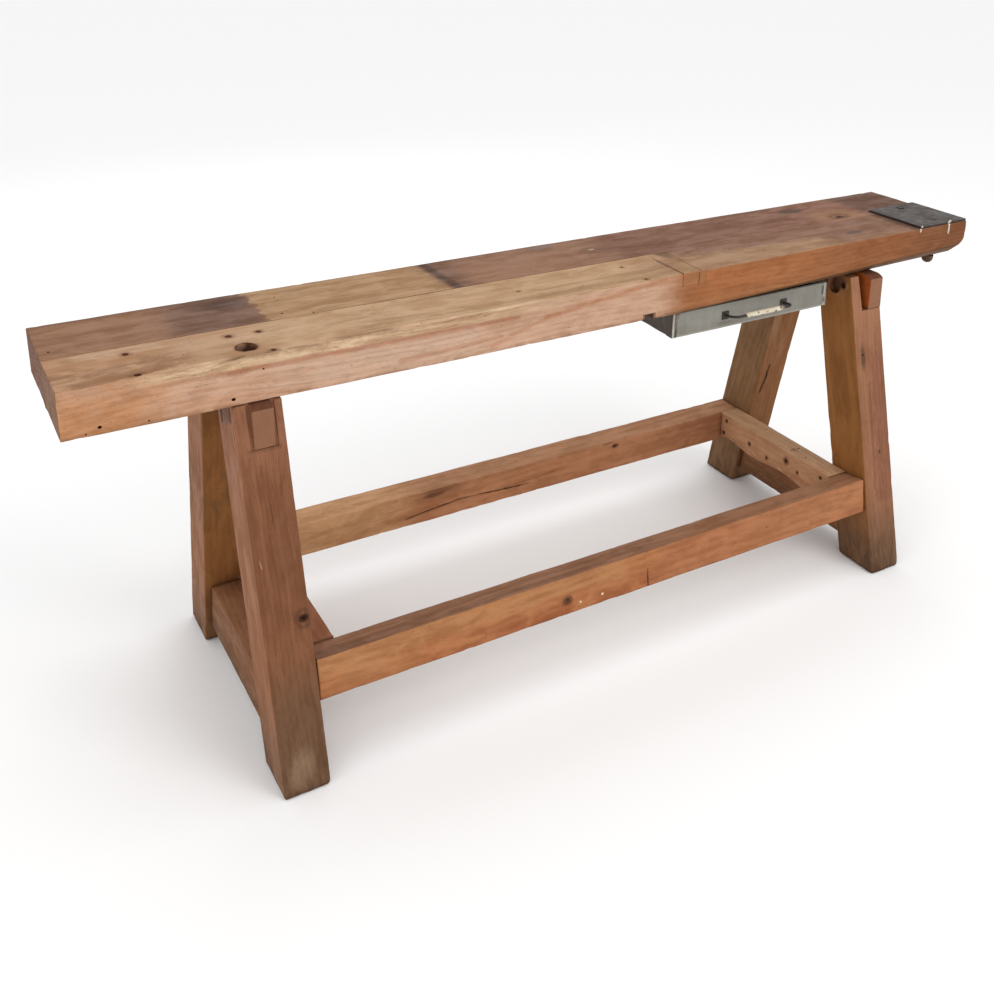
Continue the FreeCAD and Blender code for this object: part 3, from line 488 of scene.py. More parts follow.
class Graph:
    """Node graph of one material, with a shader at its end."""

    def __init__(self, name: str) -> None:
        """Start a material with nothing but its shader.

        Args:
            name: Name of the material.
        """
        self.material = bpy.data.materials.new(name)
        self.material.use_nodes = True
        self.tree = self.material.node_tree
        self.tree.nodes.clear()
        self.shader = self.add("ShaderNodeBsdfPrincipled")
        output = self.add("ShaderNodeOutputMaterial")
        self.tree.links.new(self.shader.outputs[0], output.inputs[0])
        place = self.add("ShaderNodeTexCoord")
        self.place = place.outputs["Object"]
        self.normal = place.outputs["Normal"]

    def add(self, kind: str, feeds: Optional[dict] = None, **settings: Any) -> Any:
        """Add a node.

        Args:
            kind: Blender's name for the kind of node.
            feeds: What goes into its inputs, by name or number.
            settings: Its other settings.

        Returns:
            The node.
        """
        node = self.tree.nodes.new(kind)
        for name, value in settings.items():
            setattr(node, name, value)
        for name, value in (feeds or {}).items():
            self.feed(node.inputs[name], value)
        return node

    def feed(self, target: Socket, value: Feed) -> None:
        """Link a socket to another, or set its value.

        Args:
            target: Input that is fed.
            value: Socket to link or value to set.
        """
        if isinstance(value, bpy.types.NodeSocket):
            self.tree.links.new(value, target)
        else:
            target.default_value = value

    def scalar(self, operation: str, *values: Feed) -> Socket:
        """Sum of numbers by one named operation."""
        node = self.add("ShaderNodeMath", dict(enumerate(values)), operation=operation)
        return node.outputs[0]

    def vector(self, operation: str, *values: Feed) -> Socket:
        """Vector or length from vectors by one named operation."""
        node = self.add("ShaderNodeVectorMath", dict(enumerate(values)), operation=operation)
        return node.outputs["Value" if operation in ("LENGTH", "DOT_PRODUCT", "DISTANCE") else "Vector"]

    def noise(self, place: Feed, stretch: Place, detail: float = 3.0, rough: float = 0.5,
              warp: float = 0.0, colour: bool = False) -> Socket:
        """Noise with its own number of features a metre along each axis.

        Args:
            place: Where it is read.
            stretch: Features a metre along each axis.
            detail: How many finer layers it has.
            rough: How strong they are.
            warp: How much it is bent by itself.
            colour: Whether to give three values instead of one.

        Returns:
            Socket of the value or values.
        """
        scaled = self.vector("MULTIPLY", place, stretch)
        node = self.add("ShaderNodeTexNoise", {"Vector": scaled, "Scale": 1.0, "Detail": detail,
                                               "Roughness": rough, "Distortion": warp})
        return node.outputs[1 if colour else 0]

    def span(self, value: Feed, low: float, high: float, first: float = 0.0, last: float = 1.0) -> Socket:
        """Value carried smoothly from one range to another, and held outside it."""
        feeds = {0: value, 1: low, 2: high, 3: first, 4: last}
        return self.add("ShaderNodeMapRange", feeds, interpolation_type="SMOOTHSTEP").outputs[0]

    def scaled(self, value: Feed, factor: Feed) -> Socket:
        """Vector or colour times a number."""
        node = self.add("ShaderNodeVectorMath", {0: value, "Scale": factor}, operation="SCALE")
        return node.outputs["Vector"]

    def crevices(self, reach: float) -> Socket:
        """Socket that is 1 in the open and nears 0 in corners and gaps."""
        return self.add("ShaderNodeAmbientOcclusion", {"Distance": reach}, samples=6).outputs["AO"]

    def arrises(self) -> Socket:
        """Socket that is above 0.5 on arrises and below it in hollows."""
        return self.add("ShaderNodeNewGeometry").outputs["Pointiness"]

    def mix(self, share: Feed, under: Feed, over: Feed, blend: Blend = Blend.COVER) -> Socket:
        """Colour laid on another by a share.

        Args:
            share: How much of the upper colour shows.
            under: Colour below.
            over: Colour above.
            blend: How the two are blended.

        Returns:
            Socket of the mixed colour.
        """
        node = self.add("ShaderNodeMix", data_type="RGBA", blend_type=blend.value)
        self.feed(node.inputs[0], share)
        self.feed(node.inputs[6], under)
        self.feed(node.inputs[7], over)
        return node.outputs[2]

    def bump(self, height: Feed, distance: float, strength: float = 1.0) -> None:
        """Add relief to the shader's normal.

        Args:
            height: Socket of the relief's height.
            distance: Depth of the relief in metres.
            strength: How strongly it shows.
        """
        node = self.add("ShaderNodeBump", {"Strength": strength, "Distance": distance, "Height": height})
        already = self.shader.inputs["Normal"]
        if already.is_linked:
            self.feed(node.inputs["Normal"], already.links[0].from_socket)
        self.feed(already, node.outputs[0])


# Where a layer of colour lies

@dataclass(frozen=True)
class Zone:
    """Inside of a box with soft, uneven borders."""

    low: Place = (-9.0, -9.0, -9.0)
    high: Place = (9.0, 9.0, 9.0)
    soft: float = 0.006
    ragged: float = 0.0

    def mask(self, graph: Graph, unrest: Socket) -> Socket:
        """Socket that is 1 inside and 0 outside.

        Args:
            graph: Graph of the material.
            unrest: Socket of noise that makes borders ragged.

        Returns:
            The mask.
        """
        over = graph.vector("SUBTRACT", graph.place, self.high)
        under = graph.vector("SUBTRACT", self.low, graph.place)
        parts = graph.add("ShaderNodeSeparateXYZ", {0: graph.vector("MAXIMUM", over, under)}).outputs
        away = graph.scalar("MAXIMUM", graph.scalar("MAXIMUM", parts[0], parts[1]), parts[2])
        if self.ragged:
            away = graph.scalar("MULTIPLY_ADD", unrest, self.ragged, away)
        return graph.span(away, -self.soft, self.soft, 1.0, 0.0)


@dataclass(frozen=True)
class Ball:
    """Uneven ball, or a ball squeezed along the axes."""

    at: Place
    radii: Place
    soft: float = 0.4
    ragged: float = 0.35

    def away(self, graph: Graph, unrest: Socket) -> Socket:
        """Socket that is 0 in the middle and 1 on the ball.

        Args:
            graph: Graph of the material.
            unrest: Socket of noise that makes borders ragged.

        Returns:
            The socket.
        """
        inverse = tuple(1 / radius for radius in self.radii)
        offset = tuple(-place / radius for place, radius in zip(self.at, self.radii))
        away = graph.vector("LENGTH", graph.vector("MULTIPLY_ADD", graph.place, inverse, offset))
        return graph.scalar("MULTIPLY_ADD", unrest, self.ragged, away)


class Spot(Ball):
    """Inside of an uneven ball."""

    def mask(self, graph: Graph, unrest: Socket) -> Socket:
        """Socket that is 1 inside and 0 outside."""
        return graph.span(self.away(graph, unrest), 1 - self.soft, 1 + self.soft, 1.0, 0.0)


class Ring(Ball):
    """Uneven ring as wide as it is soft, such as the dark line round a knot."""

    def mask(self, graph: Graph, unrest: Socket) -> Socket:
        """Socket that is 1 on the ring and 0 off it."""
        beside = graph.scalar("ABSOLUTE", graph.scalar("SUBTRACT", self.away(graph, unrest), 1.0))
        return graph.span(beside, 0.0, self.soft, 1.0, 0.0)


@dataclass(frozen=True)
class Stroke:
    """Soft line from one place to another, such as a stain, a scratch or a run of paint."""

    start: Place
    end: Place
    width: float
    soft: float = 0.5
    ragged: float = 0.5

    def mask(self, graph: Graph, unrest: Socket) -> Socket:
        """Socket that is 1 on the line and 0 off it.

        Args:
            graph: Graph of the material.
            unrest: Socket of noise that makes borders ragged.

        Returns:
            The mask.
        """
        span = Vector(self.end) - Vector(self.start)
        here = graph.vector("SUBTRACT", graph.place, self.start)
        share = graph.vector("DOT_PRODUCT", here, (span / span.length_squared)[:])
        share = graph.add("ShaderNodeClamp", {0: share}).outputs[0]
        nearest = graph.scaled(span[:], share)
        away = graph.vector("DISTANCE", here, nearest)
        away = graph.scalar("MULTIPLY_ADD", unrest, self.ragged * self.width, away)
        half = self.width / 2
        return graph.span(away, half * (1 - self.soft), half * (1 + self.soft), 1.0, 0.0)


@dataclass(frozen=True)
class Facing:
    """Faces that look one way."""

    way: Place
    start: float = 0.35
    full: float = 0.8

    def mask(self, graph: Graph, unrest: Socket) -> Socket:
        """Socket that is 1 on such faces and 0 on others."""
        return graph.span(graph.vector("DOT_PRODUCT", graph.normal, self.way), self.start, self.full)


@dataclass(frozen=True)
class Slope:
    """Rise from 0 to 1 along an axis, over a stretch."""

    axis: int
    start: float
    full: float
    ragged: float = 0.0

    def mask(self, graph: Graph, unrest: Socket) -> Socket:
        """Socket that rises along the axis.

        Args:
            graph: Graph of the material.
            unrest: Socket of noise that makes borders ragged.

        Returns:
            The mask.
        """
        value = graph.add("ShaderNodeSeparateXYZ", {0: graph.place}).outputs[self.axis]
        if self.ragged:
            value = graph.scalar("MULTIPLY_ADD", unrest, self.ragged, value)
        low, high = sorted((self.start, self.full))
        ends = (0.0, 1.0) if self.start < self.full else (1.0, 0.0)
        return graph.span(value, low, high, *ends)


Where = Union[Zone, Spot, Ring, Stroke, Facing, Slope]


class Cover(Enum):
    """How evenly a layer covers its place."""

    EVEN = "even"
    PATCHY = "patchy"
    STREAKY = "streaky"


@dataclass(frozen=True)
class Layer:
    """Colour that lies where all its places agree."""

    colour: Tone
    share: float
    where: tuple[Where, ...]
    cover: Cover
    bare: float

    def lay(self, graph: Graph, under: Socket, unrest: Socket, patterns: dict[Cover, Socket]) -> Socket:
        """Lay the colour on what is under it.

        Args:
            graph: Graph that it belongs to.
            under: Colour under it.
            unrest: Uneven value that makes borders ragged, about -0.5 to 0.5.
            patterns: Values from 0 to 1 that thin an uneven layer.

        Returns:
            Socket of the new colour.
        """
        share: Feed = self.share
        for place in self.where:
            share = graph.scalar("MULTIPLY", place.mask(graph, unrest), share)
        if self.cover in patterns:
            thin = graph.span(patterns[self.cover], self.bare - 0.1, self.bare + 0.12)
            share = graph.scalar("MULTIPLY", share, thin)
        return graph.mix(share, under, self.colour)


def coat(colour: Rgb, share: float, *where: Union[Where, Cover], bare: float = 0.45) -> Layer:
    """Layer of a colour where all its places agree, even unless a cover is named.

    Args:
        colour: Red, green and blue as they look on a screen, 0 to 255.
        share: How much of what is under it the layer hides.
        where: Its places, and its cover if it is uneven.
        bare: How much of an uneven layer's place stays bare.

    Returns:
        The layer.
    """
    places = tuple(part for part in where if not isinstance(part, Cover))
    covers = [part for part in where if isinstance(part, Cover)]
    return Layer(tone(*colour), share, places, covers[0] if covers else Cover.EVEN, bare)


class Grain(Enum):
    """Direction of a timber's fibres."""

    ALONG = (1.0, 0.0, 0.0)
    ACROSS = (0.0, 1.0, 0.0)
    FRONT_LEG = (0.0, math.sin(LEAN), math.cos(LEAN))
    BACK_LEG = (0.0, -math.sin(LEAN), math.cos(LEAN))


class Finish:
    """What a piece is finished with."""

    name: str

    def made(self) -> bpy.types.Material:
        """Material of this finish, made once.

        Returns:
            The material.
        """
        if self.name not in FINISHED:
            graph = Graph(self.name)
            FINISHED[self.name] = graph.material
            self.paint(graph)
        return FINISHED[self.name]

    def paint(self, graph: Graph) -> None:
        """Fill the material's graph; each kind has its own way."""
        raise NotImplementedError(self.name)


@dataclass(frozen=True)
class WoodFinish(Finish):
    """Bare, worn timber."""

    name: str
    base: Tone
    grain: Grain = Grain.ALONG
    layers: tuple[Layer, ...] = ()
    end_tone: Tone = tone(132, 94, 70)
    shift: float = 0.0
    pith: tuple[float, float] = (0.09, 0.21)
    ring_width: float = 0.011
    contrast: float = 0.13
    figure: float = 0.3
    streaks: float = 0.5
    mottle: float = 1.0
    ripe: Tone = (1.0, 0.90, 0.80, 1.0)
    blush: Tone = (1.08, 0.95, 0.88, 1.0)
    blush_share: float = 0.8
    # Strength of the darkening in corners and gaps, which stands for dirt and for painted shade
    grime_and_crevice_shade: float = 0.55
    # How much arrises are lightened, for wear and as a painted highlight
    worn: float = 0.35
    specks: float = 0.3
    rough: float = 0.6
    relief: float = 0.0005

    def paint(self, graph: Graph) -> None:
        """Fill the material's graph.

        Args:
            graph: Graph of the material.
        """
        fibre = Vector(self.grain.value)
        side = Vector((1.0, 0.0, 0.0)) if fibre.z > 0.5 else Vector((0.0, 0.0, 1.0)).cross(fibre)
        turn = Matrix((fibre, side, fibre.cross(side))).to_euler()
        along = graph.add("ShaderNodeMapping", {"Vector": graph.place, "Rotation": turn[:],
                                                "Location": (self.shift, self.pith[0],
                                                             self.pith[1])}).outputs[0]
        drift = graph.noise(along, (1.3, 4.0, 4.0), 3.0, colour=True)
        sway = graph.vector("MULTIPLY", graph.vector("SUBTRACT", drift, (0.5, 0.5, 0.5)), (0.0, 0.09, 0.09))
        bent = graph.vector("ADD", along, sway)
        rings = graph.add("ShaderNodeTexWave", {
            "Vector": bent, "Scale": math.tau / 20 / self.ring_width, "Distortion": 3.5, "Detail": 3.0,
            "Detail Scale": 0.05, "Detail Roughness": 0.6,
        }, wave_type="RINGS", rings_direction="X", wave_profile="SIN").outputs["Fac"]
        streak = graph.noise(bent, (2.2, 60.0, 60.0), 5.0, 0.66)
        fibres = graph.noise(bent, (24.0, 900.0, 900.0), 2.0, 0.6)
        mottle = graph.noise(along, (14.0, 34.0, 34.0), 5.0, 0.62, 0.7)
        blotch = graph.noise(along, (2.1, 7.0, 7.0), 4.0, 0.58, 0.6)
        unrest = graph.scalar("SUBTRACT", graph.noise(graph.place, (45.0, 45.0, 45.0), 5.0, 0.65), 0.5)
        patterns = {Cover.PATCHY: mottle, Cover.STREAKY: streak}
        colour = graph.mix(graph.span(blotch, 0.3, 0.7, 0.0, self.blush_share), self.base,
                           tuple(part * by for part, by in zip(self.base, self.blush)))
        for layer in self.layers:
            colour = layer.lay(graph, colour, unrest, patterns)
        total = graph.scalar("MULTIPLY", graph.span(rings, 0.2, 1.0), self.figure)
        total = graph.scalar("MULTIPLY_ADD", graph.span(streak, 0.28, 0.72), self.streaks, total)
        total = graph.scalar("MULTIPLY_ADD", graph.span(mottle, 0.28, 0.72), self.mottle, total)
        total = graph.scalar("DIVIDE", total, self.figure + self.streaks + self.mottle)
        colour = graph.mix(graph.span(total, 0.35, 0.9, 0.0, 0.6), colour, self.ripe, Blend.STAIN)
        colour = graph.scaled(colour, graph.span(total, 0.1, 0.9, 1 + self.contrast, 1 - self.contrast))
        colour = graph.scaled(colour, graph.span(fibres, 0.28, 0.72, 1.08, 0.9))
        ends = graph.scalar("ABSOLUTE", graph.vector("DOT_PRODUCT", graph.normal, self.grain.value))
        colour = graph.mix(graph.span(ends, 0.6, 0.9, 0.0, 0.75), colour, self.end_tone)
        pores = graph.noise(bent, (90.0, 560.0, 560.0), 1.0, 0.5)
        dots = graph.noise(graph.place, (260.0, 260.0, 260.0), 1.0, 0.5)
        colour = graph.mix(graph.span(pores, 0.66, 0.75, 0.0, 0.3), colour, tone(84, 54, 34))
        colour = graph.mix(graph.span(dots, 0.72, 0.76, 0.0, self.specks), colour, tone(62, 40, 28))
        # Corners and gaps darkened by how closed in they are: dirt, and painted shade
        open_air = graph.crevices(0.018)
        dirt_and_shade = graph.span(graph.scalar("MULTIPLY_ADD", unrest, 0.35, open_air), 0.25, 0.85, self.grime_and_crevice_shade, 0.0)
        colour = graph.mix(dirt_and_shade, colour, (0.30, 0.23, 0.18, 1.0), Blend.STAIN)
        # Arrises lightened: wear, with a painted highlight along them
        edge = graph.span(graph.arrises(), 0.515, 0.6, 0.0, self.worn)
        edge = graph.scalar("MULTIPLY", edge, graph.span(mottle, 0.35, 0.6))
        colour = graph.mix(edge, colour, (1.45, 1.42, 1.38, 1.0), Blend.STAIN)
        graph.feed(graph.shader.inputs["Base Color"], colour)
        graph.feed(graph.shader.inputs["Roughness"],
                   graph.span(total, 0.2, 0.8, self.rough - 0.06, self.rough + 0.14))
        graph.shader.inputs["Specular IOR Level"].default_value = 0.1
        height = graph.scalar("MULTIPLY_ADD", fibres, 0.45, streak)
        height = graph.scalar("MULTIPLY_ADD", rings, 0.2, height)
        height = graph.scalar("SUBTRACT", height, graph.span(pores, 0.66, 0.76, 0.0, 0.5))
        graph.bump(height, self.relief, 0.6)
        graph.bump(mottle, self.relief * 4, 0.35)


@dataclass(frozen=True)
class MetalFinish(Finish):
    """Steel or iron, bright, dark or rusted."""

    name: str
    base: Tone
    worn: Tone
    metallic: float = 0.85
    rough: float = 0.45
    grime_and_crevice_shade: Tone = tone(40, 30, 24)
    grime_share: float = 0.5
    layers: tuple[Layer, ...] = ()
    relief: float = 0.00025

    def paint(self, graph: Graph) -> None:
        """Fill the material's graph.

        Args:
            graph: Graph of the material.
        """
        cloud = graph.noise(graph.place, (26.0, 26.0, 26.0), 5.0, 0.62, 0.6)
        fine = graph.noise(graph.place, (320.0, 320.0, 320.0), 3.0, 0.6)
        rubs = graph.noise(graph.place, (45.0, 420.0, 420.0), 2.0, 0.5)
        unrest = graph.scalar("SUBTRACT", graph.noise(graph.place, (120.0, 120.0, 120.0), 4.0, 0.6), 0.5)
        colour = graph.mix(graph.span(cloud, 0.35, 0.68), self.base, self.worn)
        colour = graph.mix(graph.span(fine, 0.52, 0.72, 0.0, self.grime_share), colour, self.grime_and_crevice_shade)
        for layer in self.layers:
            colour = layer.lay(graph, colour, unrest, {Cover.PATCHY: cloud, Cover.STREAKY: rubs})
        graph.feed(graph.shader.inputs["Base Color"], colour)
        graph.shader.inputs["Metallic"].default_value = self.metallic
        rough = graph.span(graph.scalar("MULTIPLY_ADD", rubs, 0.5, cloud), 0.4, 1.1, self.rough - 0.12,
                           self.rough + 0.2)
        graph.feed(graph.shader.inputs["Roughness"], rough)
        graph.bump(fine, self.relief, 0.6)
        graph.bump(cloud, self.relief * 4, 0.35)


@dataclass(frozen=True)
class PaintFinish(Finish):
    """Old paint or enamel with smudges, chips and scratches."""

    name: str
    base: Tone
    shade: Tone
    chip: Tone
    chips: float = 0.72
    rough: float = 0.42
    layers: tuple[Layer, ...] = ()

    def paint(self, graph: Graph) -> None:
        """Fill the material's graph.

        Args:
            graph: Graph of the material.
        """
        cloud = graph.noise(graph.place, (14.0, 14.0, 30.0), 4.0, 0.55, 0.4)
        runs = graph.noise(graph.place, (70.0, 70.0, 7.0), 3.0, 0.5)
        fine = graph.noise(graph.place, (260.0, 260.0, 260.0), 3.0, 0.6)
        unrest = graph.scalar("SUBTRACT", graph.noise(graph.place, (150.0, 150.0, 150.0), 4.0, 0.6), 0.5)
        tint = graph.scalar("MULTIPLY_ADD", runs, 0.45, graph.scalar("MULTIPLY", cloud, 0.55))
        colour = graph.mix(graph.span(tint, 0.35, 0.66), self.base, self.shade)
        for layer in self.layers:
            colour = layer.lay(graph, colour, unrest, {Cover.PATCHY: cloud, Cover.STREAKY: runs})
        chips = graph.span(graph.scalar("MULTIPLY_ADD", fine, 0.5, graph.scalar("MULTIPLY", cloud, 0.5)),
                           self.chips, self.chips + 0.03)
        colour = graph.mix(chips, colour, self.chip)
        graph.feed(graph.shader.inputs["Base Color"], colour)
        graph.feed(graph.shader.inputs["Roughness"],
                   graph.span(cloud, 0.2, 0.8, self.rough - 0.08, self.rough + 0.14))
        graph.shader.inputs["Specular IOR Level"].default_value = 0.2
        graph.bump(graph.scalar("SUBTRACT", cloud, chips), 0.0005, 0.35)
        graph.bump(fine, 0.00012, 0.5)


# Worked pieces

EDGE_ROWS = (0.0, 0.0006, 0.0015, 0.0028, 0.0045, 0.0068, 0.0098)


@dataclass
class Block:
    """A worked piece: a skin with worn edges and wandering faces, cut as its solid is.

    A block has its own axes: along its length, across it and up. Each kind says where a
    point of its own axes lies on the bench.
    """

    node: str
    finish: Finish
    slot: str
    wear: float = 0.0024
    sway: float = 0.0009
    step: float = 0.008
    rows: tuple[float, ...] = EDGE_ROWS
    seed: int = 1
    cut_as_frame: bool = True
    carvings: tuple[Carving, ...] = ()
    dents: tuple[Dent, ...] = ()
    hollow: Optional[Finish] = None

    def size(self) -> Place:
        """Length, width and height."""
        low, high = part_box(self.node)
        return tuple(high - low)

    def placed(self, points: Points) -> Points:
        """Where points of the block's own axes lie on the bench."""
        return points + np.array(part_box(self.node)[0])

    def steps(self) -> Place:
        """Distance between lattice lines along each of its own axes."""
        return (self.step, self.step, self.step)

    def edge_wear(self, points: Points, size: Points) -> Values:
        """How far each point's nearest edge is rounded over.

        Args:
            points: Points in the piece's own axes.
            size: Length, width and height of the piece.

        Returns:
            The wear in metres, one for each point.
        """
        uneven = noise(points, (0.09, 0.05, 0.05), self.seed, 3)
        nicks = ease(noise(points, (0.024, 0.016, 0.016), self.seed + 7, 2), 0.6, 0.85)
        return self.wear * (0.4 + 1.2 * uneven) + min(0.0022, self.wear) * nicks

    def shaped(self, points: Points, size: Points) -> Points:
        """Last changes in the block's own axes; none unless a kind has some."""
        return points

    def tenons(self) -> Optional[bpy.types.Object]:
        """Tenons at the ends, if it has any."""
        return None

    def bar(self, half_width: float, half_height: float) -> bpy.types.Object:
        """Straight bar through the middle of the block that ends in a tenon at both ends.

        Args:
            half_width: Half the tenons' width.
            half_height: Half their height.

        Returns:
            The bar.
        """
        length, width, height = self.size()
        lines = [np.array((-TENON, length + TENON))]
        lines += [np.array((side / 2 - half, side / 2 + half)) for side, half in
                  ((width, half_width), (height, half_height))]
        points, faces = lattice_box(lines)
        made = new_object(self.node + "_tenons", self.placed(points), faces)
        made.data.materials.append(self.finish.made())
        return made

    def skin(self) -> bpy.types.Object:
        """Closed skin of the block before it is cut.

        Returns:
            The skin.
        """
        size = np.array(self.size())
        lines = [lattice_lines(side, step, self.rows) for side, step in zip(size, self.steps())]
        points, faces = lattice_box(lines)
        radius = np.minimum(self.edge_wear(points, size), size.min() * 0.45)[:, None]
        core = np.clip(points, radius, size - radius)
        away = points - core
        reach = np.linalg.norm(away, axis=1, keepdims=True)
        points = core + away / np.maximum(reach, 1e-9) * np.minimum(reach, radius)
        margin = min(0.007, size.min() * 0.4)
        outward = points - np.clip(points, margin, size - margin)
        outward /= np.maximum(np.linalg.norm(outward, axis=1, keepdims=True), 1e-9)
        sunk = self.sway * noise(points, (0.16, 0.06, 0.06), self.seed + 3, 3)
        sunk += 0.3 * self.sway * noise(points, (0.03, 0.006, 0.006), self.seed + 5, 2)
        points = points - outward * (sunk + SKIN_INSET)[:, None]
        points = self.shaped(points, size)
        placed = self.placed(points)
        if self.dents:
            turned = self.placed(points + outward * 0.001) - placed
            turned /= np.maximum(np.linalg.norm(turned, axis=1, keepdims=True), 1e-9)
            for dent in self.dents:
                away = np.linalg.norm((placed - np.array(dent.at)) / np.asarray(dent.radius), axis=1)
                placed = placed - turned * (dent.depth * np.exp(-away ** 2))[:, None]
        return new_object(self.node + "_worked", placed, faces)

    def build(self) -> bpy.types.Object:
        """Make the block, finish it and let it ride on its body.

        Returns:
            The piece.
        """
        made = self.skin()
        made.data.materials.append(self.finish.made())
        if self.cut_as_frame:
            combine(made, frame_copy(self.node, self.finish.made()), Cut.KEEP_COMMON)
        tenons = self.tenons()
        if tenons:
            combine(made, tenons, Cut.ADD)
        if self.carvings:
            shape = Shape()
            for index, carving in enumerate(self.carvings):
                carving.cut(shape, self.seed * 31 + index)
            cutter = shape.made(self.node + "_cuts")
            cutter.data.materials.append((self.hollow or self.finish).made())
            combine(made, cutter, Cut.TAKE_AWAY)
        return settle(made, self, BENCH)


def settle(made: bpy.types.Object, piece: Any, body: str, angle: float = SHARP_ANGLE) -> bpy.types.Object:
    """Shade a piece, let it ride on its body in place of its node, and report it.

    Args:
        made: The piece.
        piece: What it was made from, which knows its node, its finish and its slot.
        body: Body that it rides on.
        angle: Edges sharper than this stay sharp.

    Returns:
        The piece.
    """
    if not made.data.materials:
        made.data.materials.append(piece.finish.made())
    made.data.shade_smooth()
    made.data.set_sharp_from_angle(angle=angle)
    node, slot = piece.node, piece.slot
    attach(made, body)
    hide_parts(node)
    LOG.info("%s: %d faces", made.name, len(made.data.polygons))
    return made


@dataclass
class Plank(Block):
    """Plank of the top, its edges worn but for the one at the joint."""

    joint_behind: bool = True

    def steps(self) -> Place:
        """Fine lines along the plank, where its edges are ragged."""
        return (self.step * 0.6, self.step, self.step)

    def edge_wear(self, points: Points, size: Points) -> Values:
        """The edges at the joint stay sharp.

        Args:
            points: Points in the piece's own axes.
            size: Length, width and height of the piece.

        Returns:
            The wear in metres, one for each point.
        """
        radius = super().edge_wear(points, size)
        from_joint = size[1] - points[:, 1] if self.joint_behind else points[:, 1]
        return radius * (0.22 + 0.78 * ease(from_joint, 0.004, 0.02))


@dataclass
class FrontPlank(Plank):
    """Front plank, its upper front edge worn ragged and its lower front edge waney."""

    worn_from: float = 0.10
    worn_to: float = 0.90
    worn_height: float = 0.0195
    worn_depth: float = 0.0105
    wane_start: float = 1.13
    wane_depth: float = 0.033
    wane_height: float = 0.028
    end_round: float = 0.026

    def shaped(self, points: Points, size: Points) -> Points:
        """Wear the upper front edge and slope the lower one.

        Args:
            points: Points in the piece's own axes.
            size: Length, width and height of the piece.

        Returns:
            The points where they end up.
        """
        along, across, up = points.T
        share = ease(along, self.worn_from - 0.07, self.worn_from + 0.05)
        share = share * (1 - ease(along, self.worn_to - 0.28, self.worn_to))
        share = 0.12 + 0.88 * share
        ragged = 0.75 + 0.5 * noise(points, (0.05, 0.03, 0.03), self.seed + 21, 3)
        height = self.worn_height * share * ragged
        depth = self.worn_depth * share * ragged
        flat = across / depth + (size[2] - up) / height
        beyond = np.maximum(0, 1 - flat) * depth * height / np.hypot(depth, height)
        torn = noise(points, (0.028, 0.0035, 0.0035), self.seed + 25, 3)
        inside = ease(1.06 - flat, 0.0, 0.12) * share
        push = 0.86 * beyond + inside * (0.0007 + 0.0021 * torn)
        inward = np.stack((np.zeros(len(points)), height, -depth), axis=1)
        inward /= np.linalg.norm(inward, axis=1, keepdims=True)
        points = points + inward * push[:, None]
        return self.sloped(points)

    def sloped(self, points: Points) -> Points:
        """Slope the lower front edge, more and more towards the right end.

        Args:
            points: Points in the piece's own axes.

        Returns:
            The points where they end up.
        """
        along, across, up = points.T
        share = np.clip((along - self.wane_start) / (-LEFT_END + RIGHT_END - self.wane_start), 1e-4, 1)
        depth = self.wane_depth * share
        height = self.wane_height * share
        flat = across / depth + up / height
        rough = noise(points, (0.11, 0.02, 0.02), self.seed + 31, 3)
        gap = (1 - flat) * depth * height / np.hypot(depth, height)
        soft = 0.0016
        push = soft * np.logaddexp(0, (gap + 0.0011 * rough * ease(share, 0, 0.15)) / soft)
        push = np.where(share > 2e-4, push, 0) * ease(share, 0, 0.05)
        push *= 1 - ease(flat, 2.0, 3.0)
        inward = np.stack((np.zeros(len(points)), height, depth), axis=1)
        inward /= np.linalg.norm(inward, axis=1, keepdims=True)
        return self.rounded(points + inward * push[:, None], inward, depth, height)

    def rounded(self, points: Points, inward: Points, depth: Values, height: Values) -> Points:
        """Round the right end over into the sloped edge.

        Args:
            points: Points in the piece's own axes.
            inward: Way in from the slope, for each point.
            depth: How far the slope reaches in from the front, for each point.
            height: How far it reaches up, for each point.

        Returns:
            The points where they end up.
        """
        from_end = RIGHT_END - LEFT_END - points[:, 0]
        flat = points[:, 1] / depth + points[:, 2] / height
        from_slope = np.maximum(0, (flat - 1) * depth * height / np.hypot(depth, height))
        across = np.maximum(0, self.end_round - from_end)
        beside = np.maximum(0, self.end_round - from_slope)
        reach = np.hypot(across, beside)
        outside = np.where((across > 0) & (beside > 0), np.maximum(0, reach - self.end_round), 0)
        share = outside / np.maximum(reach, 1e-9)
        moved = points + inward * (beside * share)[:, None]
        moved[:, 0] -= across * share
        return moved


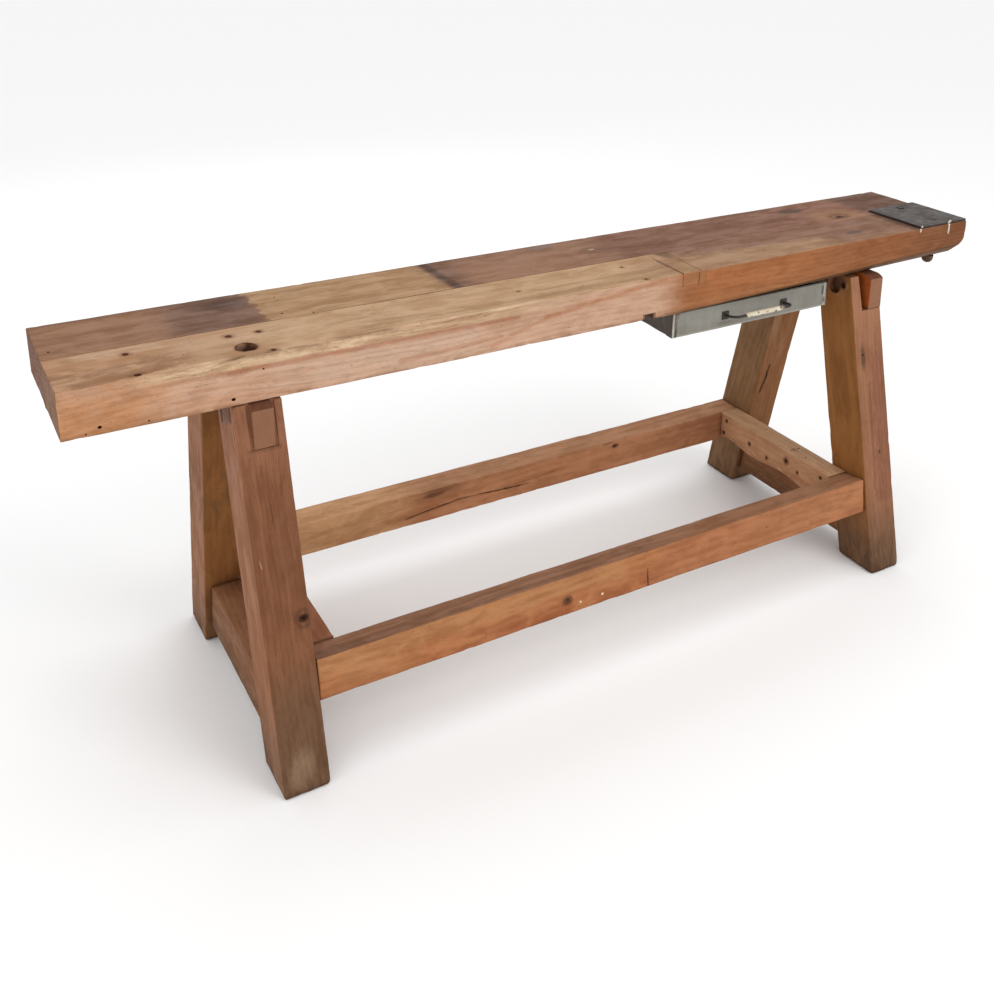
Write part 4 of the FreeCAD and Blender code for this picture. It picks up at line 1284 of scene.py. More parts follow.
@dataclass
class Leg(Block):
    """Leg that leans in towards the top. Its own axes run up it, along the bench and inwards."""

    side: int = -1
    rebates: tuple[tuple[float, float], ...] = ()
    rebate_depth: float = 0.0028
    slot_bottom: float = 0.5925
    lap: float = 0.002
    below_top: float = 0.0003

    def tenons(self) -> Optional[bpy.types.Object]:
        """Steps that close the slot in towards the bearer, behind shallow rebates.

        Returns:
            The steps, or nothing if there are none.
        """
        if not self.rebates:
            return None
        shape = Shape()
        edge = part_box(self.node)[0].x
        for start, end in self.rebates:
            lines = [np.array((self.slot_bottom - self.lap, self.size()[0] - self.below_top)),
                     np.array((start - edge, end - edge)),
                     np.array((self.rebate_depth, LEG_DEPTH - self.rebate_depth))]
            points, faces = lattice_box(lines)
            shape.add(self.placed(points), faces)
        steps = shape.made(self.node + "_steps")
        steps.data.materials.append(self.finish.made())
        return steps

    def size(self) -> Place:
        """Height, width along the bench and depth."""
        low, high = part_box(self.node)
        return (high.z - low.z, high.x - low.x, LEG_DEPTH)

    def placed(self, points: Points) -> Points:
        """Where points of the leg's own axes lie on the bench.

        Args:
            points: Points in the piece's own axes.

        Returns:
            Points in the frame's axes.
        """
        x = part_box(self.node)[0].x + points[:, 1]
        y = self.side * (FOOT_REACH - points[:, 0] * math.tan(LEAN) - points[:, 2])
        return np.stack((x, y, points[:, 0]), axis=1)

    def edge_wear(self, points: Points, size: Points) -> Values:
        """Edges are worn the most at the foot.

        Args:
            points: Points in the piece's own axes.
            size: Length, width and height of the piece.

        Returns:
            The wear in metres, one for each point.
        """
        radius = super().edge_wear(points, size) + 0.001
        foot = 1 - ease(points[:, 0], 0.0, 0.06)
        return radius + 0.005 * foot * noise(points, 0.02, self.seed + 11, 2)


def inner_reach(height: Union[float, Values]) -> Union[float, Values]:
    """Distance from the bench's middle plane to a leg's inner face at a height."""
    return FOOT_REACH - height * math.tan(LEAN) - LEG_DEPTH


@dataclass
class FootRail(Block):
    """Rail between a trestle's legs. Its own axes run along it, along the bench and up."""

    shoulder: float = 0.015

    def size(self) -> Place:
        """Length at the middle, width and height."""
        low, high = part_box(self.node)
        return (2 * inner_reach((low.z + high.z) / 2), high.x - low.x, high.z - low.z)

    def placed(self, points: Points) -> Points:
        """Where points of the rail's own axes lie on the bench.

        Args:
            points: Points in the piece's own axes.

        Returns:
            Points in the frame's axes.
        """
        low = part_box(self.node)[0]
        z = low.z + points[:, 2]
        length = self.size()[0]
        y = (points[:, 0] - length / 2) * inner_reach(z) / (length / 2)
        return np.stack((low.x + points[:, 1], y, z), axis=1)

    def tenons(self) -> bpy.types.Object:
        """Bar through the rail that ends in both tenons."""
        return self.bar(0.012, self.size()[2] / 2 - self.shoulder)


@dataclass
class Stretcher(Block):
    """Long bar that leans with the legs. Its own axes run along it, outwards and up."""

    side: int = -1
    width: float = 0.058
    height: float = 0.078
    tilt: float = math.radians(8.0)

    def size(self) -> Place:
        """Length between the trestles, width and height."""
        low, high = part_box(self.node)
        return (high.x - low.x - 2 * TENON, self.width, self.height)

    def placed(self, points: Points) -> Points:
        """Where points of the stretcher's own axes lie on the bench.

        Args:
            points: Points in the piece's own axes.

        Returns:
            Points in the frame's axes.
        """
        low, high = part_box(self.node)
        tip_y = (low.y if self.side < 0 else high.y) - self.side * math.sin(self.tilt) * self.height
        inwards = self.width - points[:, 1]
        below = self.height - points[:, 2]
        y = tip_y - self.side * math.cos(self.tilt) * inwards + self.side * math.sin(self.tilt) * below
        z = high.z - math.sin(self.tilt) * inwards - math.cos(self.tilt) * below
        return np.stack((low.x + TENON + points[:, 0], y, z), axis=1)

    def tenons(self) -> bpy.types.Object:
        """Bar through the stretcher that ends in both tenons."""
        return self.bar(0.014, 0.025)


@dataclass
class CrossBlock(Block):
    """Block that runs across the bench. Its own axes run to the back, along the bench and up."""

    def size(self) -> Place:
        """Length across the bench, width and height."""
        low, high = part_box(self.node)
        return (high.y - low.y, high.x - low.x, high.z - low.z)

    def placed(self, points: Points) -> Points:
        """Where points of the block's own axes lie on the bench."""
        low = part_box(self.node)[0]
        return np.stack((low.x + points[:, 1], low.y + points[:, 0], low.z + points[:, 2]), axis=1)


def shaved(points: Points, corner: Points, way: Points, soft: float) -> Points:
    """Move points that lie beyond a plane back to it, softly at its border.

    Args:
        points: Places, three numbers to a row.
        corner: A point of the plane.
        way: Unit direction out of the wood.
        soft: How gently the plane takes over.

    Returns:
        The moved points.
    """
    beyond = (points - corner) @ way
    kept = -soft * np.logaddexp(0, -beyond / soft)
    return points - np.outer(beyond - kept, way)


@dataclass
class Bearer(CrossBlock):
    """Bar through the leg tops, its upper ends chamfered."""

    chamfer_depth: float = 0.016
    chamfer_height: float = 0.009

    def shaped(self, points: Points, size: Points) -> Points:
        """Chamfer both upper ends, softly.

        Args:
            points: Points in the piece's own axes.
            size: Length, width and height of the piece.

        Returns:
            The points where they end up.
        """
        for end in (0, 1):
            way = np.array((1.0 if end else -1.0, 0.0, self.chamfer_depth / self.chamfer_height))
            way /= np.linalg.norm(way)
            corner = np.array((size[0] if end else 0.0, 0.0, size[2] - self.chamfer_height))
            points = shaved(points, corner, way, 0.0008)
        return points


@dataclass
class Batten(CrossBlock):
    """Batten between the stretchers, its lower edge wavy."""

    wave: float = 0.005
    shares: tuple[float, ...] = (0.0, 0.3, 0.55, 0.8, 1.0)

    def shaped(self, points: Points, size: Points) -> Points:
        """Wave the lower edge.

        Args:
            points: Points in the piece's own axes.
            size: Length, width and height of the piece.

        Returns:
            The points where they end up.
        """
        share = points[:, 0] / size[0]
        lift = np.zeros(len(points))
        for index, (start, end) in enumerate(zip(self.shares, self.shares[1:])):
            inside = (share >= start) & (share <= end)
            bulge = self.wave if index % 2 else -self.wave
            lift[inside] = bulge * np.sin(math.pi * (share[inside] - start) / (end - start))
        foot = 1 - points[:, 2] / size[2]
        points = points.copy()
        points[:, 2] += (lift + self.wave) * foot
        return points


# Folded sheet and bent rod

def folded(distance: Values, legs: Sequence[float], bend: float) -> tuple[Values, Values, Values]:
    """Follow a sheet outwards from its middle and up round its folds.

    Args:
        distance: Distance from the middle along the sheet.
        legs: Length of each straight stretch.
        bend: Radius of the folds between them.

    Returns:
        How far out and how far up each point lies, and how far the sheet has turned there.
    """
    out = np.zeros_like(distance)
    up = np.zeros_like(distance)
    turn = np.zeros_like(distance)
    heading = passed = 0.0
    for index, leg in enumerate(legs):
        straight = np.clip(distance - passed, 0, leg)
        out += math.cos(heading) * straight
        up += math.sin(heading) * straight
        passed += leg
        if index == len(legs) - 1:
            break
        arc = np.clip((distance - passed) / bend, 0, math.pi / 2)
        out += bend * (np.sin(heading + arc) - math.sin(heading))
        up += bend * (math.cos(heading) - np.cos(heading + arc))
        turn += arc
        passed += bend * math.pi / 2
        heading += math.pi / 2
    return out, up, turn


def fold_lines(legs: Sequence[float], bend: float, step: float) -> np.ndarray:
    """Places of lattice lines from a sheet's middle to its edge, close together at folds.

    Args:
        legs: Lengths of the flat stretches from the middle out.
        bend: Radius of the folds in the sheet's middle.
        step: Widest space between lines.

    Returns:
        Places from 0 outwards.
    """
    lines = [0.0]
    for index, leg in enumerate(legs):
        count = max(1, math.ceil(leg / step))
        lines.extend(lines[-1] + leg * np.arange(1, count + 1) / count)
        if index < len(legs) - 1:
            arc = bend * math.pi / 2
            lines.extend(lines[-1] + arc * np.arange(1, 5) / 4)
    return np.array(lines)


@dataclass
class FoldedSheet:
    """Steel sheet with its borders folded up, dented and wavy.

    Its own axes are two along the sheet and one in the way that the borders fold.
    """

    node: str
    finish: Finish
    slot: str
    first: Place
    second: Place
    fold: Place
    centre: Place
    first_legs: tuple[tuple[float, ...], tuple[float, ...]]
    second_legs: tuple[tuple[float, ...], tuple[float, ...]]
    gauge: float = 0.0012
    bend: float = 0.0022
    wave: float = 0.0008
    step: float = 0.006
    taper: float = 1.0
    dents: tuple[Dent, ...] = ()
    seed: int = 60

    def build(self) -> bpy.types.Object:
        """Make the sheet, finish it and let it ride on the drawer.

        Returns:
            The sheet.
        """
        sides = []
        for legs in (self.first_legs, self.second_legs):
            minus, plus = (fold_lines(part, self.bend, self.step) for part in legs)
            sides.append(np.concatenate((-minus[:0:-1], plus)))
        u, v = (grid.ravel() for grid in np.meshgrid(*sides, indexing="ij"))
        numbers = np.arange(len(u)).reshape(len(sides[0]), len(sides[1]))
        faces = grid_faces(numbers, False)[:, ::-1]
        beyond = self.past_fold(u, self.first_legs), self.past_fold(v, self.second_legs)
        corner = (beyond[0][faces].max(axis=1) > 1e-5) & (beyond[1][faces].max(axis=1) > 1e-5)
        points = self.placed(u, v)
        used, faces = np.unique(faces[~corner], return_inverse=True)
        made = new_object(self.node + "_sheet", points[used], faces.reshape(-1, 4), False)
        thick = made.modifiers.new("gauge", "SOLIDIFY")
        thick.thickness = self.gauge
        thick.offset = -1.0
        settle_modifiers(made)
        return settle(made, self, DRAWER, math.radians(50))

    @staticmethod
    def past_fold(values: Values, legs: tuple[tuple[float, ...], tuple[float, ...]]) -> Values:
        """How far each value lies past its side's first fold."""
        return np.where(values < 0, -values - legs[0][0], values - legs[1][0])

    def placed(self, u: Values, v: Values) -> Points:
        """Where points of the flat sheet lie once it is folded.

        Args:
            u: Places across the flat sheet.
            v: Places along the flat sheet.

        Returns:
            Points of the folded sheet.
        """
        flat = np.stack((u, v, u * 0), axis=1)
        inwards = self.wave * noise(flat, 0.09, self.seed, 3)
        inwards = inwards + 0.2 * self.wave * noise(flat, 0.02, self.seed + 4, 2)
        for dent in self.dents:
            away = np.linalg.norm((flat - np.array(dent.at)) / np.asarray(dent.radius), axis=1)
            inwards += dent.depth * np.exp(-away ** 2)
        if self.taper < 1:
            edge = self.first_legs[0][0] + self.bend * math.pi / 2
            reach = self.second_legs[0][0] + self.second_legs[1][0]
            share = np.clip((v + self.second_legs[0][0]) / reach, 0, 1)
            past = np.maximum(0, -u - edge)
            u = u + past * (1 - self.taper) * share
        parts = []
        for values, legs in ((u, self.first_legs), (v, self.second_legs)):
            low = folded(np.maximum(0, -values), legs[0], self.bend)
            high = folded(np.maximum(0, values), legs[1], self.bend)
            minus = values < 0
            parts.append([np.where(minus, a, b) for a, b in zip(low, high)] + [np.where(minus, -1.0, 1.0)])
        inwards = inwards + SKIN_INSET
        level = (np.cos(parts[0][2]) * np.cos(parts[1][2])) * inwards
        spots = [part[3] * (part[0] - np.sin(part[2]) * inwards) for part in parts]
        up = parts[0][1] + parts[1][1] + level
        axes = np.array((self.first, self.second, self.fold))
        return np.array(self.centre) + np.stack((*spots, up), axis=1) @ axes


@dataclass
class Rod:
    """Round rod along a path, unevenly worked."""

    node: str
    finish: Finish
    slot: str
    path: list[Vector]
    radius: float
    uneven: float = 0.12
    seed: int = 70
    sides: int = 18

    def build(self) -> bpy.types.Object:
        """Make the rod, finish it and let it ride on its body.

        Returns:
            The rod.
        """
        rings = []
        count = len(self.path)
        turns = np.arange(self.sides) / self.sides * math.tau
        for index, place in enumerate(self.path):
            ahead = self.path[min(index + 1, count - 1)] - self.path[max(index - 1, 0)]
            around = np.stack((np.cos(turns), np.sin(turns), turns * 0 + index * 0.35), axis=1)
            radii = self.radius * (1 - self.uneven * noise(around, 0.8, self.seed, 2))
            rings.append(ring_round(place, ahead, radii))
        shape = Shape()
        shape.add_rings(rings)
        made = shape.made(self.node + "_rod")
        return settle(made, self, DRAWER)


@dataclass
class DomeNuts:
    """Domed nuts that stand against the underside of the top."""

    node: str
    finish: Finish
    slot: str
    radius: float = 0.0135
    collar: float = 0.006
    height: float = 0.0182
    bolt_inset: float = 0.010
    rows: int = 9

    def build(self) -> bpy.types.Object:
        """Make the nuts, finish them and let them ride on the bench.

        Returns:
            The nuts.
        """
        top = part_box(self.node)[1].z
        bolts_low, bolts_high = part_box("end_plate_bolts")
        turns = [math.pi / 2 * row / self.rows for row in range(1, self.rows)]
        levels = [(0.0, self.radius), (self.collar, self.radius)]
        levels += [(self.collar + (self.height - self.collar) * math.sin(turn),
                    self.radius * math.cos(turn) * 0.97) for turn in turns]
        shape = Shape()
        for corner, inset in ((bolts_low, self.bolt_inset), (bolts_high, -self.bolt_inset)):
            shape.add_rings([ring_round(Vector((corner.x + inset, corner.y + inset, top - down)),
                                        Vector((0, 0, -1)), [radius] * 24) for down, radius in levels])
        return settle(shape.made(self.node + "_turned"), self, BENCH)


@dataclass(frozen=True)
class SmallParts:
    """Fixings that keep the shape of their nodes, with a finish and broken edges."""

    node: str
    finish: Finish
    edge: float = 0.0004

    def dress(self) -> None:
        """Give the node its finish and break its edges."""
        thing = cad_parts[self.node]
        thing.data.materials.clear()
        thing.data.materials.append(self.finish.made())
        weld = thing.modifiers.new("weld", "WELD")
        weld.merge_threshold = 0.00001
        bevel = thing.modifiers.new("edge", "BEVEL")
        bevel.width = self.edge
        bevel.segments = 2
        bevel.limit_method = "ANGLE"
        bevel.angle_limit = math.radians(40)
        LOG.info("%s: dressed", self.node)


# The studio

@dataclass(frozen=True)
class Studio:
    """Floor, lights and camera, at the photograph's viewing angle."""

    eye: Place = (-1.1802, -1.8828, 1.4882)
    azimuth: float = math.radians(31.058)
    elevation: float = math.radians(17.685)
    roll: float = math.radians(-0.916)
    focal_pixels: float = 1155.7
    centre_pixels: tuple[float, float] = (550.74, 253.27)
    image: tuple[int, int] = (994, 995)
    sensor: float = 36.0

    def build(self) -> None:
        """Make everything that isn't the bench."""
        self.camera()
        self.floor()
        self.lights()

    def camera(self) -> None:
        """Camera where the photograph was taken from."""
        lens = bpy.data.cameras.new("camera")
        longest = max(self.image)
        lens.sensor_width = self.sensor
        lens.lens = self.focal_pixels / longest * self.sensor
        lens.shift_x = (self.image[0] / 2 - self.centre_pixels[0]) / longest
        lens.shift_y = (self.centre_pixels[1] - self.image[1] / 2) / longest
        holder = bpy.data.objects.new("camera", lens)
        bpy.context.scene.collection.objects.link(holder)
        a, e, c = self.azimuth, self.elevation, self.roll
        ahead = Vector((math.sin(a) * math.cos(e), math.cos(a) * math.cos(e), -math.sin(e)))
        right = Vector((math.cos(a), -math.sin(a), 0.0))
        down = ahead.cross(right)
        level_right = right * math.cos(c) + down * math.sin(c)
        level_down = down * math.cos(c) - right * math.sin(c)
        turn = Matrix((level_right, -level_down, -ahead)).transposed()
        holder.matrix_world = Matrix.Translation(self.eye) @ turn.to_4x4()
        bpy.context.scene.camera = holder

    def floor(self) -> None:
        """Plain pale floor."""
        reach = 30.0
        corners = [(-reach, -reach, 0), (reach, -reach, 0), (reach, reach, 0), (-reach, reach, 0)]
        ground = new_object("floor", np.array(corners), [(0, 1, 2, 3)])
        graph = Graph("pale_floor")
        graph.shader.inputs["Base Color"].default_value = (0.92, 0.92, 0.92, 1.0)
        graph.shader.inputs["Roughness"].default_value = 0.9
        graph.shader.inputs["Specular IOR Level"].default_value = 0.1
        ground.data.materials.append(graph.material)

    def lights(self) -> None:
        """Soft sky and three large lamps."""
        world = bpy.data.worlds.new("sky")
        world.use_nodes = True
        sky = world.node_tree.nodes["Background"]
        sky.inputs[0].default_value = (1.0, 1.0, 1.0, 1.0)
        sky.inputs[1].default_value = 1.0
        scene = bpy.context.scene
        scene.world = world
        scene.view_settings.view_transform = "Standard"
        scene.view_settings.look = "None"
        self.lamp("key", (1.6, -3.6, 3.4), (0.0, 0.0, 0.45), 2.2, 62.0)
        self.lamp("fill", (-3.4, -1.6, 1.8), (-0.2, 0.0, 0.5), 2.2, 10.0)
        self.lamp("back", (0.5, 3.4, 2.6), (0.0, 0.0, 0.5), 2.4, 14.0)

    @staticmethod
    def lamp(name: str, at: Place, aim: Place, width: float, power: float) -> None:
        """Square lamp that looks at a place.

        Args:
            name: Name of the lamp.
            at: Where it hangs.
            aim: Place that it looks at.
            width: Side of its square.
            power: Its power in watts.
        """
        light = bpy.data.lights.new(name, "AREA")
        light.size = width
        light.energy = power
        holder = bpy.data.objects.new(name, light)
        holder.location = at
        holder.rotation_mode = "QUATERNION"
        holder.rotation_quaternion = (Vector(aim) - Vector(at)).to_track_quat("-Z", "Y")
        bpy.context.scene.collection.objects.link(holder)


# Places on the top, measured in millimetres from its left front corner

def on_top(along: float, across: float) -> Place:
    """Place on the upper face."""
    return (LEFT_END + along / 1000, FRONT_FACE + across / 1000, TOP)


def on_front(along: float, height: float) -> Place:
    """Place on the front face, at a height above the floor."""
    return (LEFT_END + along / 1000, FRONT_FACE, height / 1000)


def area(along: tuple[float, float], across: tuple[float, float], soft: float = 6.0,
         ragged: float = 0.0) -> Zone:
    """Stretch of the top, all through its thickness, with borders in millimetres.

    Args:
        along: From and to along the top, from its left end.
        across: From and to across it, from its front edge.
        soft: How wide the border is.
        ragged: How far the border wanders.

    Returns:
        The zone.
    """
    low = (LEFT_END + along[0] / 1000, FRONT_FACE + across[0] / 1000, 0.0)
    high = (LEFT_END + along[1] / 1000, FRONT_FACE + across[1] / 1000, 1.0)
    return Zone(low, high, soft / 1000, ragged / 1000)


def stretch(along: tuple[float, float], height: tuple[float, float], soft: float = 6.0,
            ragged: float = 0.0) -> Zone:
    """Stretch of the front face, between heights, with borders in millimetres.

    Args:
        along: From and to along the top, from its left end.
        height: From and to in height.
        soft: How wide the border is.
        ragged: How far the border wanders.

    Returns:
        The zone.
    """
    low = (LEFT_END + along[0] / 1000, -1.0, height[0] / 1000)
    high = (LEFT_END + along[1] / 1000, 1.0, height[1] / 1000)
    return Zone(low, high, soft / 1000, ragged / 1000)


def worn_stretch() -> tuple[Slope, Slope]:
    """Stretch along the top where its front edge is worn ragged, fading at both ends."""
    return (Slope(0, LEFT_END + 0.06, LEFT_END + 0.20, 0.08),
            Slope(0, LEFT_END + 0.94, LEFT_END + 0.74, 0.08))


WORN_BAND = Zone((-9.0, FRONT_FACE - 0.01, TOP - 0.0185), (9.0, FRONT_FACE + 0.0105, TOP + 0.01), 0.0026,
                 0.012)
SIDEWAYS = Facing((0.0, 0.0, 1.0), 0.55, 0.2)
UPWARDS = Facing((0.0, 0.0, 1.0), 0.5, 0.85)
DOWNWARDS = Facing((0.0, 0.0, -1.0), 0.3, 0.7)
TO_FRONT = Facing((0.0, -1.0, 0.0), 0.45, 0.8)
TO_BACK = Facing((0.0, 1.0, 0.0), 0.45, 0.8)
TO_LEFT = Facing((-1.0, 0.0, 0.0), 0.5, 0.8)
TO_RIGHT = Facing((1.0, 0.0, 0.0), 0.5, 0.8)
INTO_TOP = (0.0, 0.0, -1.0)
INTO_FRONT = (0.0, 1.0, 0.0)
INTO_LEFT = (1.0, 0.0, 0.0)

# Inside of holes and splits: dark for old dirt and as painted shade, with a painted highlight on the far
# wall of the counterbore
DIRTY_SHADED_HOLLOW = WoodFinish("dirty_shaded_hollow", tone(84, 52, 35), layers=(
    coat((176, 138, 114), 0.75, Spot((-0.7015, -0.0885, 0.7475), (0.0085, 0.012, 0.0055), 0.6, 0.8)),
), contrast=0.3, worn=0.0, rough=0.85)
PALE_PAINT = (232, 224, 210)
DARK_STAIN = (74, 50, 36)
RUSTY = MetalFinish("rusty_steel", tone(92, 60, 42), tone(58, 42, 34), metallic=0.35, rough=0.7,
                    grime_and_crevice_shade=tone(38, 26, 20))
ZINC = MetalFinish("zinc", tone(120, 118, 112), tone(90, 86, 80), metallic=0.8, rough=0.42)


@dataclass
class BenchTop:
    """Two planks with a patch, a steel plate and their fixings."""

    plank_step: float = 0.007
    face_rows: tuple[float, ...] = EDGE_ROWS + (0.0125, 0.0152, 0.018, 0.021, 0.025)

    def build(self) -> None:
        """Make the planks, the patch and the plate, and dress the fixings."""
        self.front_plank().build()
        self.back_plank().build()
        self.patch().build()
        self.plate().build()
        self.dress_fixings()

    def front_plank(self) -> Block:
        """Front plank with its worn edge.

        Returns:
            The plank.
        """
        warm = (160, 102, 62)
        layers = (
            coat((196, 162, 124), 0.6, UPWARDS, area((330, 1100), (-10, 150), 24, 30)),
            coat((184, 150, 114), 0.35, UPWARDS, area((380, 1000), (40, 125), 18, 30), Cover.STREAKY),
            coat((150, 108, 78), 0.6, UPWARDS, area((-20, 215), (-5, 75), 20, 60), Cover.PATCHY),
            coat((200, 168, 140), 0.6, UPWARDS, area((45, 185), (108, 132), 8, 14)),
            coat((205, 174, 146), 0.45, UPWARDS, area((190, 420), (70, 135), 16, 30), Cover.PATCHY),
            coat((138, 100, 80), 0.92, UPWARDS, area((1215, 2100), (-20, 160), 26, 50)),
            coat((124, 88, 70), 0.35, UPWARDS, area((1260, 1860), (30, 150), 14, 30), Cover.STREAKY),
            coat((170, 134, 102), 0.9, UPWARDS,
                 Stroke(on_top(1190, 52), on_top(1560, 22), 0.092, 0.35, 0.4)),
            coat((150, 112, 84), 0.7, UPWARDS, Stroke(on_top(1560, 22), on_top(1790, 8), 0.03, 0.5, 0.5)),
            coat((84, 66, 56), 0.75, UPWARDS, Spot(on_top(1692, 57), (0.026, 0.01, 0.03))),
            # Dark band on the top beside the plate's left edge: painted shade
            coat((84, 58, 44), 0.8, UPWARDS, area((1828, 2010), (-10, 150), 10, 14)),
            coat((202, 163, 136), 0.95, TO_FRONT),
            coat((212, 181, 158), 0.65, TO_FRONT, stretch((330, 720), (680, 735), 26, 60), Cover.PATCHY),
            coat((190, 130, 84), 0.8, TO_FRONT, stretch((-50, 150), (600, 740), 60, 130)),
            coat((192, 134, 96), 0.4, TO_FRONT, stretch((180, 400), (660, 715), 16, 30), Cover.STREAKY),
            coat(warm, 0.95, TO_FRONT, Slope(0, 0.1, 0.19, 0.03)),
            coat((172, 106, 62), 0.5, TO_FRONT, stretch((1200, 1560), (700, 752), 14, 30), Cover.STREAKY),
            coat((144, 90, 56), 0.8, TO_FRONT, Slope(0, 0.42, 0.66, 0.05)),
            coat((122, 80, 52), 0.7, TO_FRONT, Slope(0, 0.72, 0.96, 0.05)),
            # Sloped lower front edge and the bottom of the front face darkened as painted shade
            coat((104, 74, 48), 0.85, Facing((0.0, -0.65, -0.76), 0.72, 0.93), Slope(0, 0.14, 0.35)),
            coat((96, 70, 48), 0.6, TO_FRONT, stretch((1130, 2010), (560, 679), 8, 10), Cover.STREAKY),
            coat((150, 108, 74), 0.6, TO_FRONT, stretch((-10, 1130), (560, 677), 5, 7), Cover.PATCHY),
            # Reddish line just under the worn band: painted shadow of its ledge
            coat((170, 116, 82), 0.5, TO_FRONT, *worn_stretch(), stretch((0, 330), (729, 738), 4, 10)),
            coat((166, 108, 78), 0.65, TO_FRONT, *worn_stretch(), stretch((260, 800), (727, 736), 4, 10)),
            coat((184, 128, 96), 0.5, TO_FRONT, Stroke(on_front(740, 683), on_front(860, 720), 0.008, 0.8)),
            coat((176, 116, 80), 0.6, TO_FRONT, Stroke(on_front(855, 719), on_front(1130, 750), 0.011,
                                                       0.8)),
            coat((176, 118, 84), 0.4, TO_FRONT, Stroke(on_front(560, 690), on_front(760, 700), 0.01)),
            coat((226, 196, 160), 0.85, *worn_stretch(), WORN_BAND, Cover.PATCHY, bare=0.38),
            coat((150, 106, 70), 0.75, *worn_stretch(), WORN_BAND, Cover.STREAKY, bare=0.52),
            # Dark specks and a painted shadow line along the back of the worn band
            coat((112, 84, 56), 0.45, *worn_stretch(), area((240, 840), (8, 13), 3, 14), Cover.PATCHY,
                 bare=0.52),
            coat((136, 104, 72), 0.4, UPWARDS, area((500, 1180), (14, 60), 12, 24), Cover.STREAKY,
                 bare=0.52),
            coat(DARK_STAIN, 0.8, UPWARDS, Spot(on_top(286, 7), (0.028, 0.004, 0.02))),
            coat((104, 70, 50), 0.7, Spot(on_top(1213, 136), (0.016, 0.042, 0.02))),
            coat((86, 56, 42), 0.9, Stroke(on_top(1177, 114), on_top(1171, -2), 0.0035)),
            coat((98, 62, 44), 0.75, TO_FRONT, Stroke(on_front(1212, 750), on_front(1210, 724), 0.003)),
            # Inside of the notch in the lower front edge darkened as painted shade
            coat((60, 38, 26), 0.9, Zone((0.077, -0.1522, 0.6), (0.107, 0.1, 0.6842), 0.0008)),
            # Walls of the counterbore darkened as painted shade, with a painted highlight inside it
            coat((62, 40, 28), 0.9, SIDEWAYS, Zone((-0.72, -0.13, 0.6), (-0.672, -0.086, 0.753), 0.001)),
            coat((150, 116, 96), 0.75, SIDEWAYS,
                 Spot((-0.703, -0.091, 0.749), (0.008, 0.01, 0.009), 0.6, 0.8)),
            coat(PALE_PAINT, 0.9, Stroke((0.8475, -0.15, 0.7555), (0.845, -0.153, 0.748), 0.004)),
            coat(PALE_PAINT, 0.95, Stroke((0.9398, -0.15, 0.756), (0.939, -0.153, 0.732), 0.0046)),
            *self.hole_stains(),
        )
        finish = WoodFinish("front_plank_wood", tone(180, 144, 110), layers=layers,
                            end_tone=tone(108, 66, 42))
        return FrontPlank("top_front_plank", finish, "top_wood", wear=0.003, sway=0.0014,
                          step=self.plank_step, rows=self.face_rows, seed=11, hollow=DIRTY_SHADED_HOLLOW,
                          carvings=self.front_plank_cuts(), dents=self.front_plank_dents())

    @staticmethod
    def hole_stains() -> tuple[Layer, ...]:
        """Dark rims round the old screw holes.

        Returns:
            The layers.
        """
        spots = ((291, 103, 12), (342, 101, 10), (124, 105, 11), (124, 11, 14), (340, 11, 10),
                 (1088, 97, 7), (1089, 11, 8), (405, 166, 8), (456, 144, 8), (833, 69, 6))
        rims = [coat((132, 92, 64), 0.7, UPWARDS, Spot(on_top(x, y), (r / 1000, r / 1100, 0.02), 0.5, 0.7))
                for x, y, r in spots]
        rims.append(coat((132, 94, 68), 0.5, UPWARDS,
                         Spot(on_top(304, 45), (0.0225, 0.0215, 0.02), 0.15, 0.6)))
        return tuple(rims)

    @staticmethod
    def front_plank_cuts() -> tuple[Carving, ...]:
        """Old holes and splits.

        Returns:
            The holes and splits.
        """
        tops = ((291, 103, 6.4, 2.4), (342, 101, 5.6, 2.2), (124, 105, 5.8, 2.2), (124, 11.5, 6.6, 2.6),
                (340, 12.5, 5, 3), (1088, 97, 2.8, 6), (1089, 13, 3.2, 6), (833, 69, 2, 5),
                (560, 120, 1.2, 5), (700, 42, 1.1, 5), (912, 118, 1.3, 5), (642, 72, 1.0, 4),
                (205, 60, 1.3, 5), (960, 40, 1.2, 5), (1420, 46, 1.4, 5), (1560, 96, 1.6, 6),
                (1300, 122, 1.2, 5))
        fronts = ((59, 684, 3.1, 9), (38, 676.5, 1.8, 5), (132, 678, 1.6, 6), (266, 684, 3.4, 9),
                  (318, 727.5, 1.8, 6), (224, 719, 1.0, 4), (470, 702, 1.0, 4), (655, 716, 0.9, 4),
                  (905, 690, 1.0, 4), (760, 722, 0.9, 4), (1462, 708, 1.3, 5), (1660, 722, 1.2, 5))
        cuts: list[Carving] = [Hole(on_top(x, y), r / 1000, d / 1000, INTO_TOP, 1.35)
                               for x, y, r, d in tops]
        cuts += [Hole(on_front(x, z), r / 1000, d / 1000, INTO_FRONT, 1.2, 0.8) for x, z, r, d in fronts]
        cuts.append(Hole(on_top(304, 45), 0.0192, 0.011, INTO_TOP, 1.03, 0.97))
        cuts.append(Crack((on_top(243, 5.5), on_top(270, 7.5), on_top(330, 8.5)), 0.0016, 0.004, INTO_TOP,
                          0.002))
        cuts.append(Crack((on_top(1330, 78), on_top(1452, 84), on_top(1540, 80)), 0.0007, 0.003, INTO_TOP,
                          0.002))
        cuts.append(Crack((on_top(640, 92), on_top(740, 96), on_top(800, 95)), 0.0006, 0.003, INTO_TOP,
                          0.002))
        return tuple(cuts)

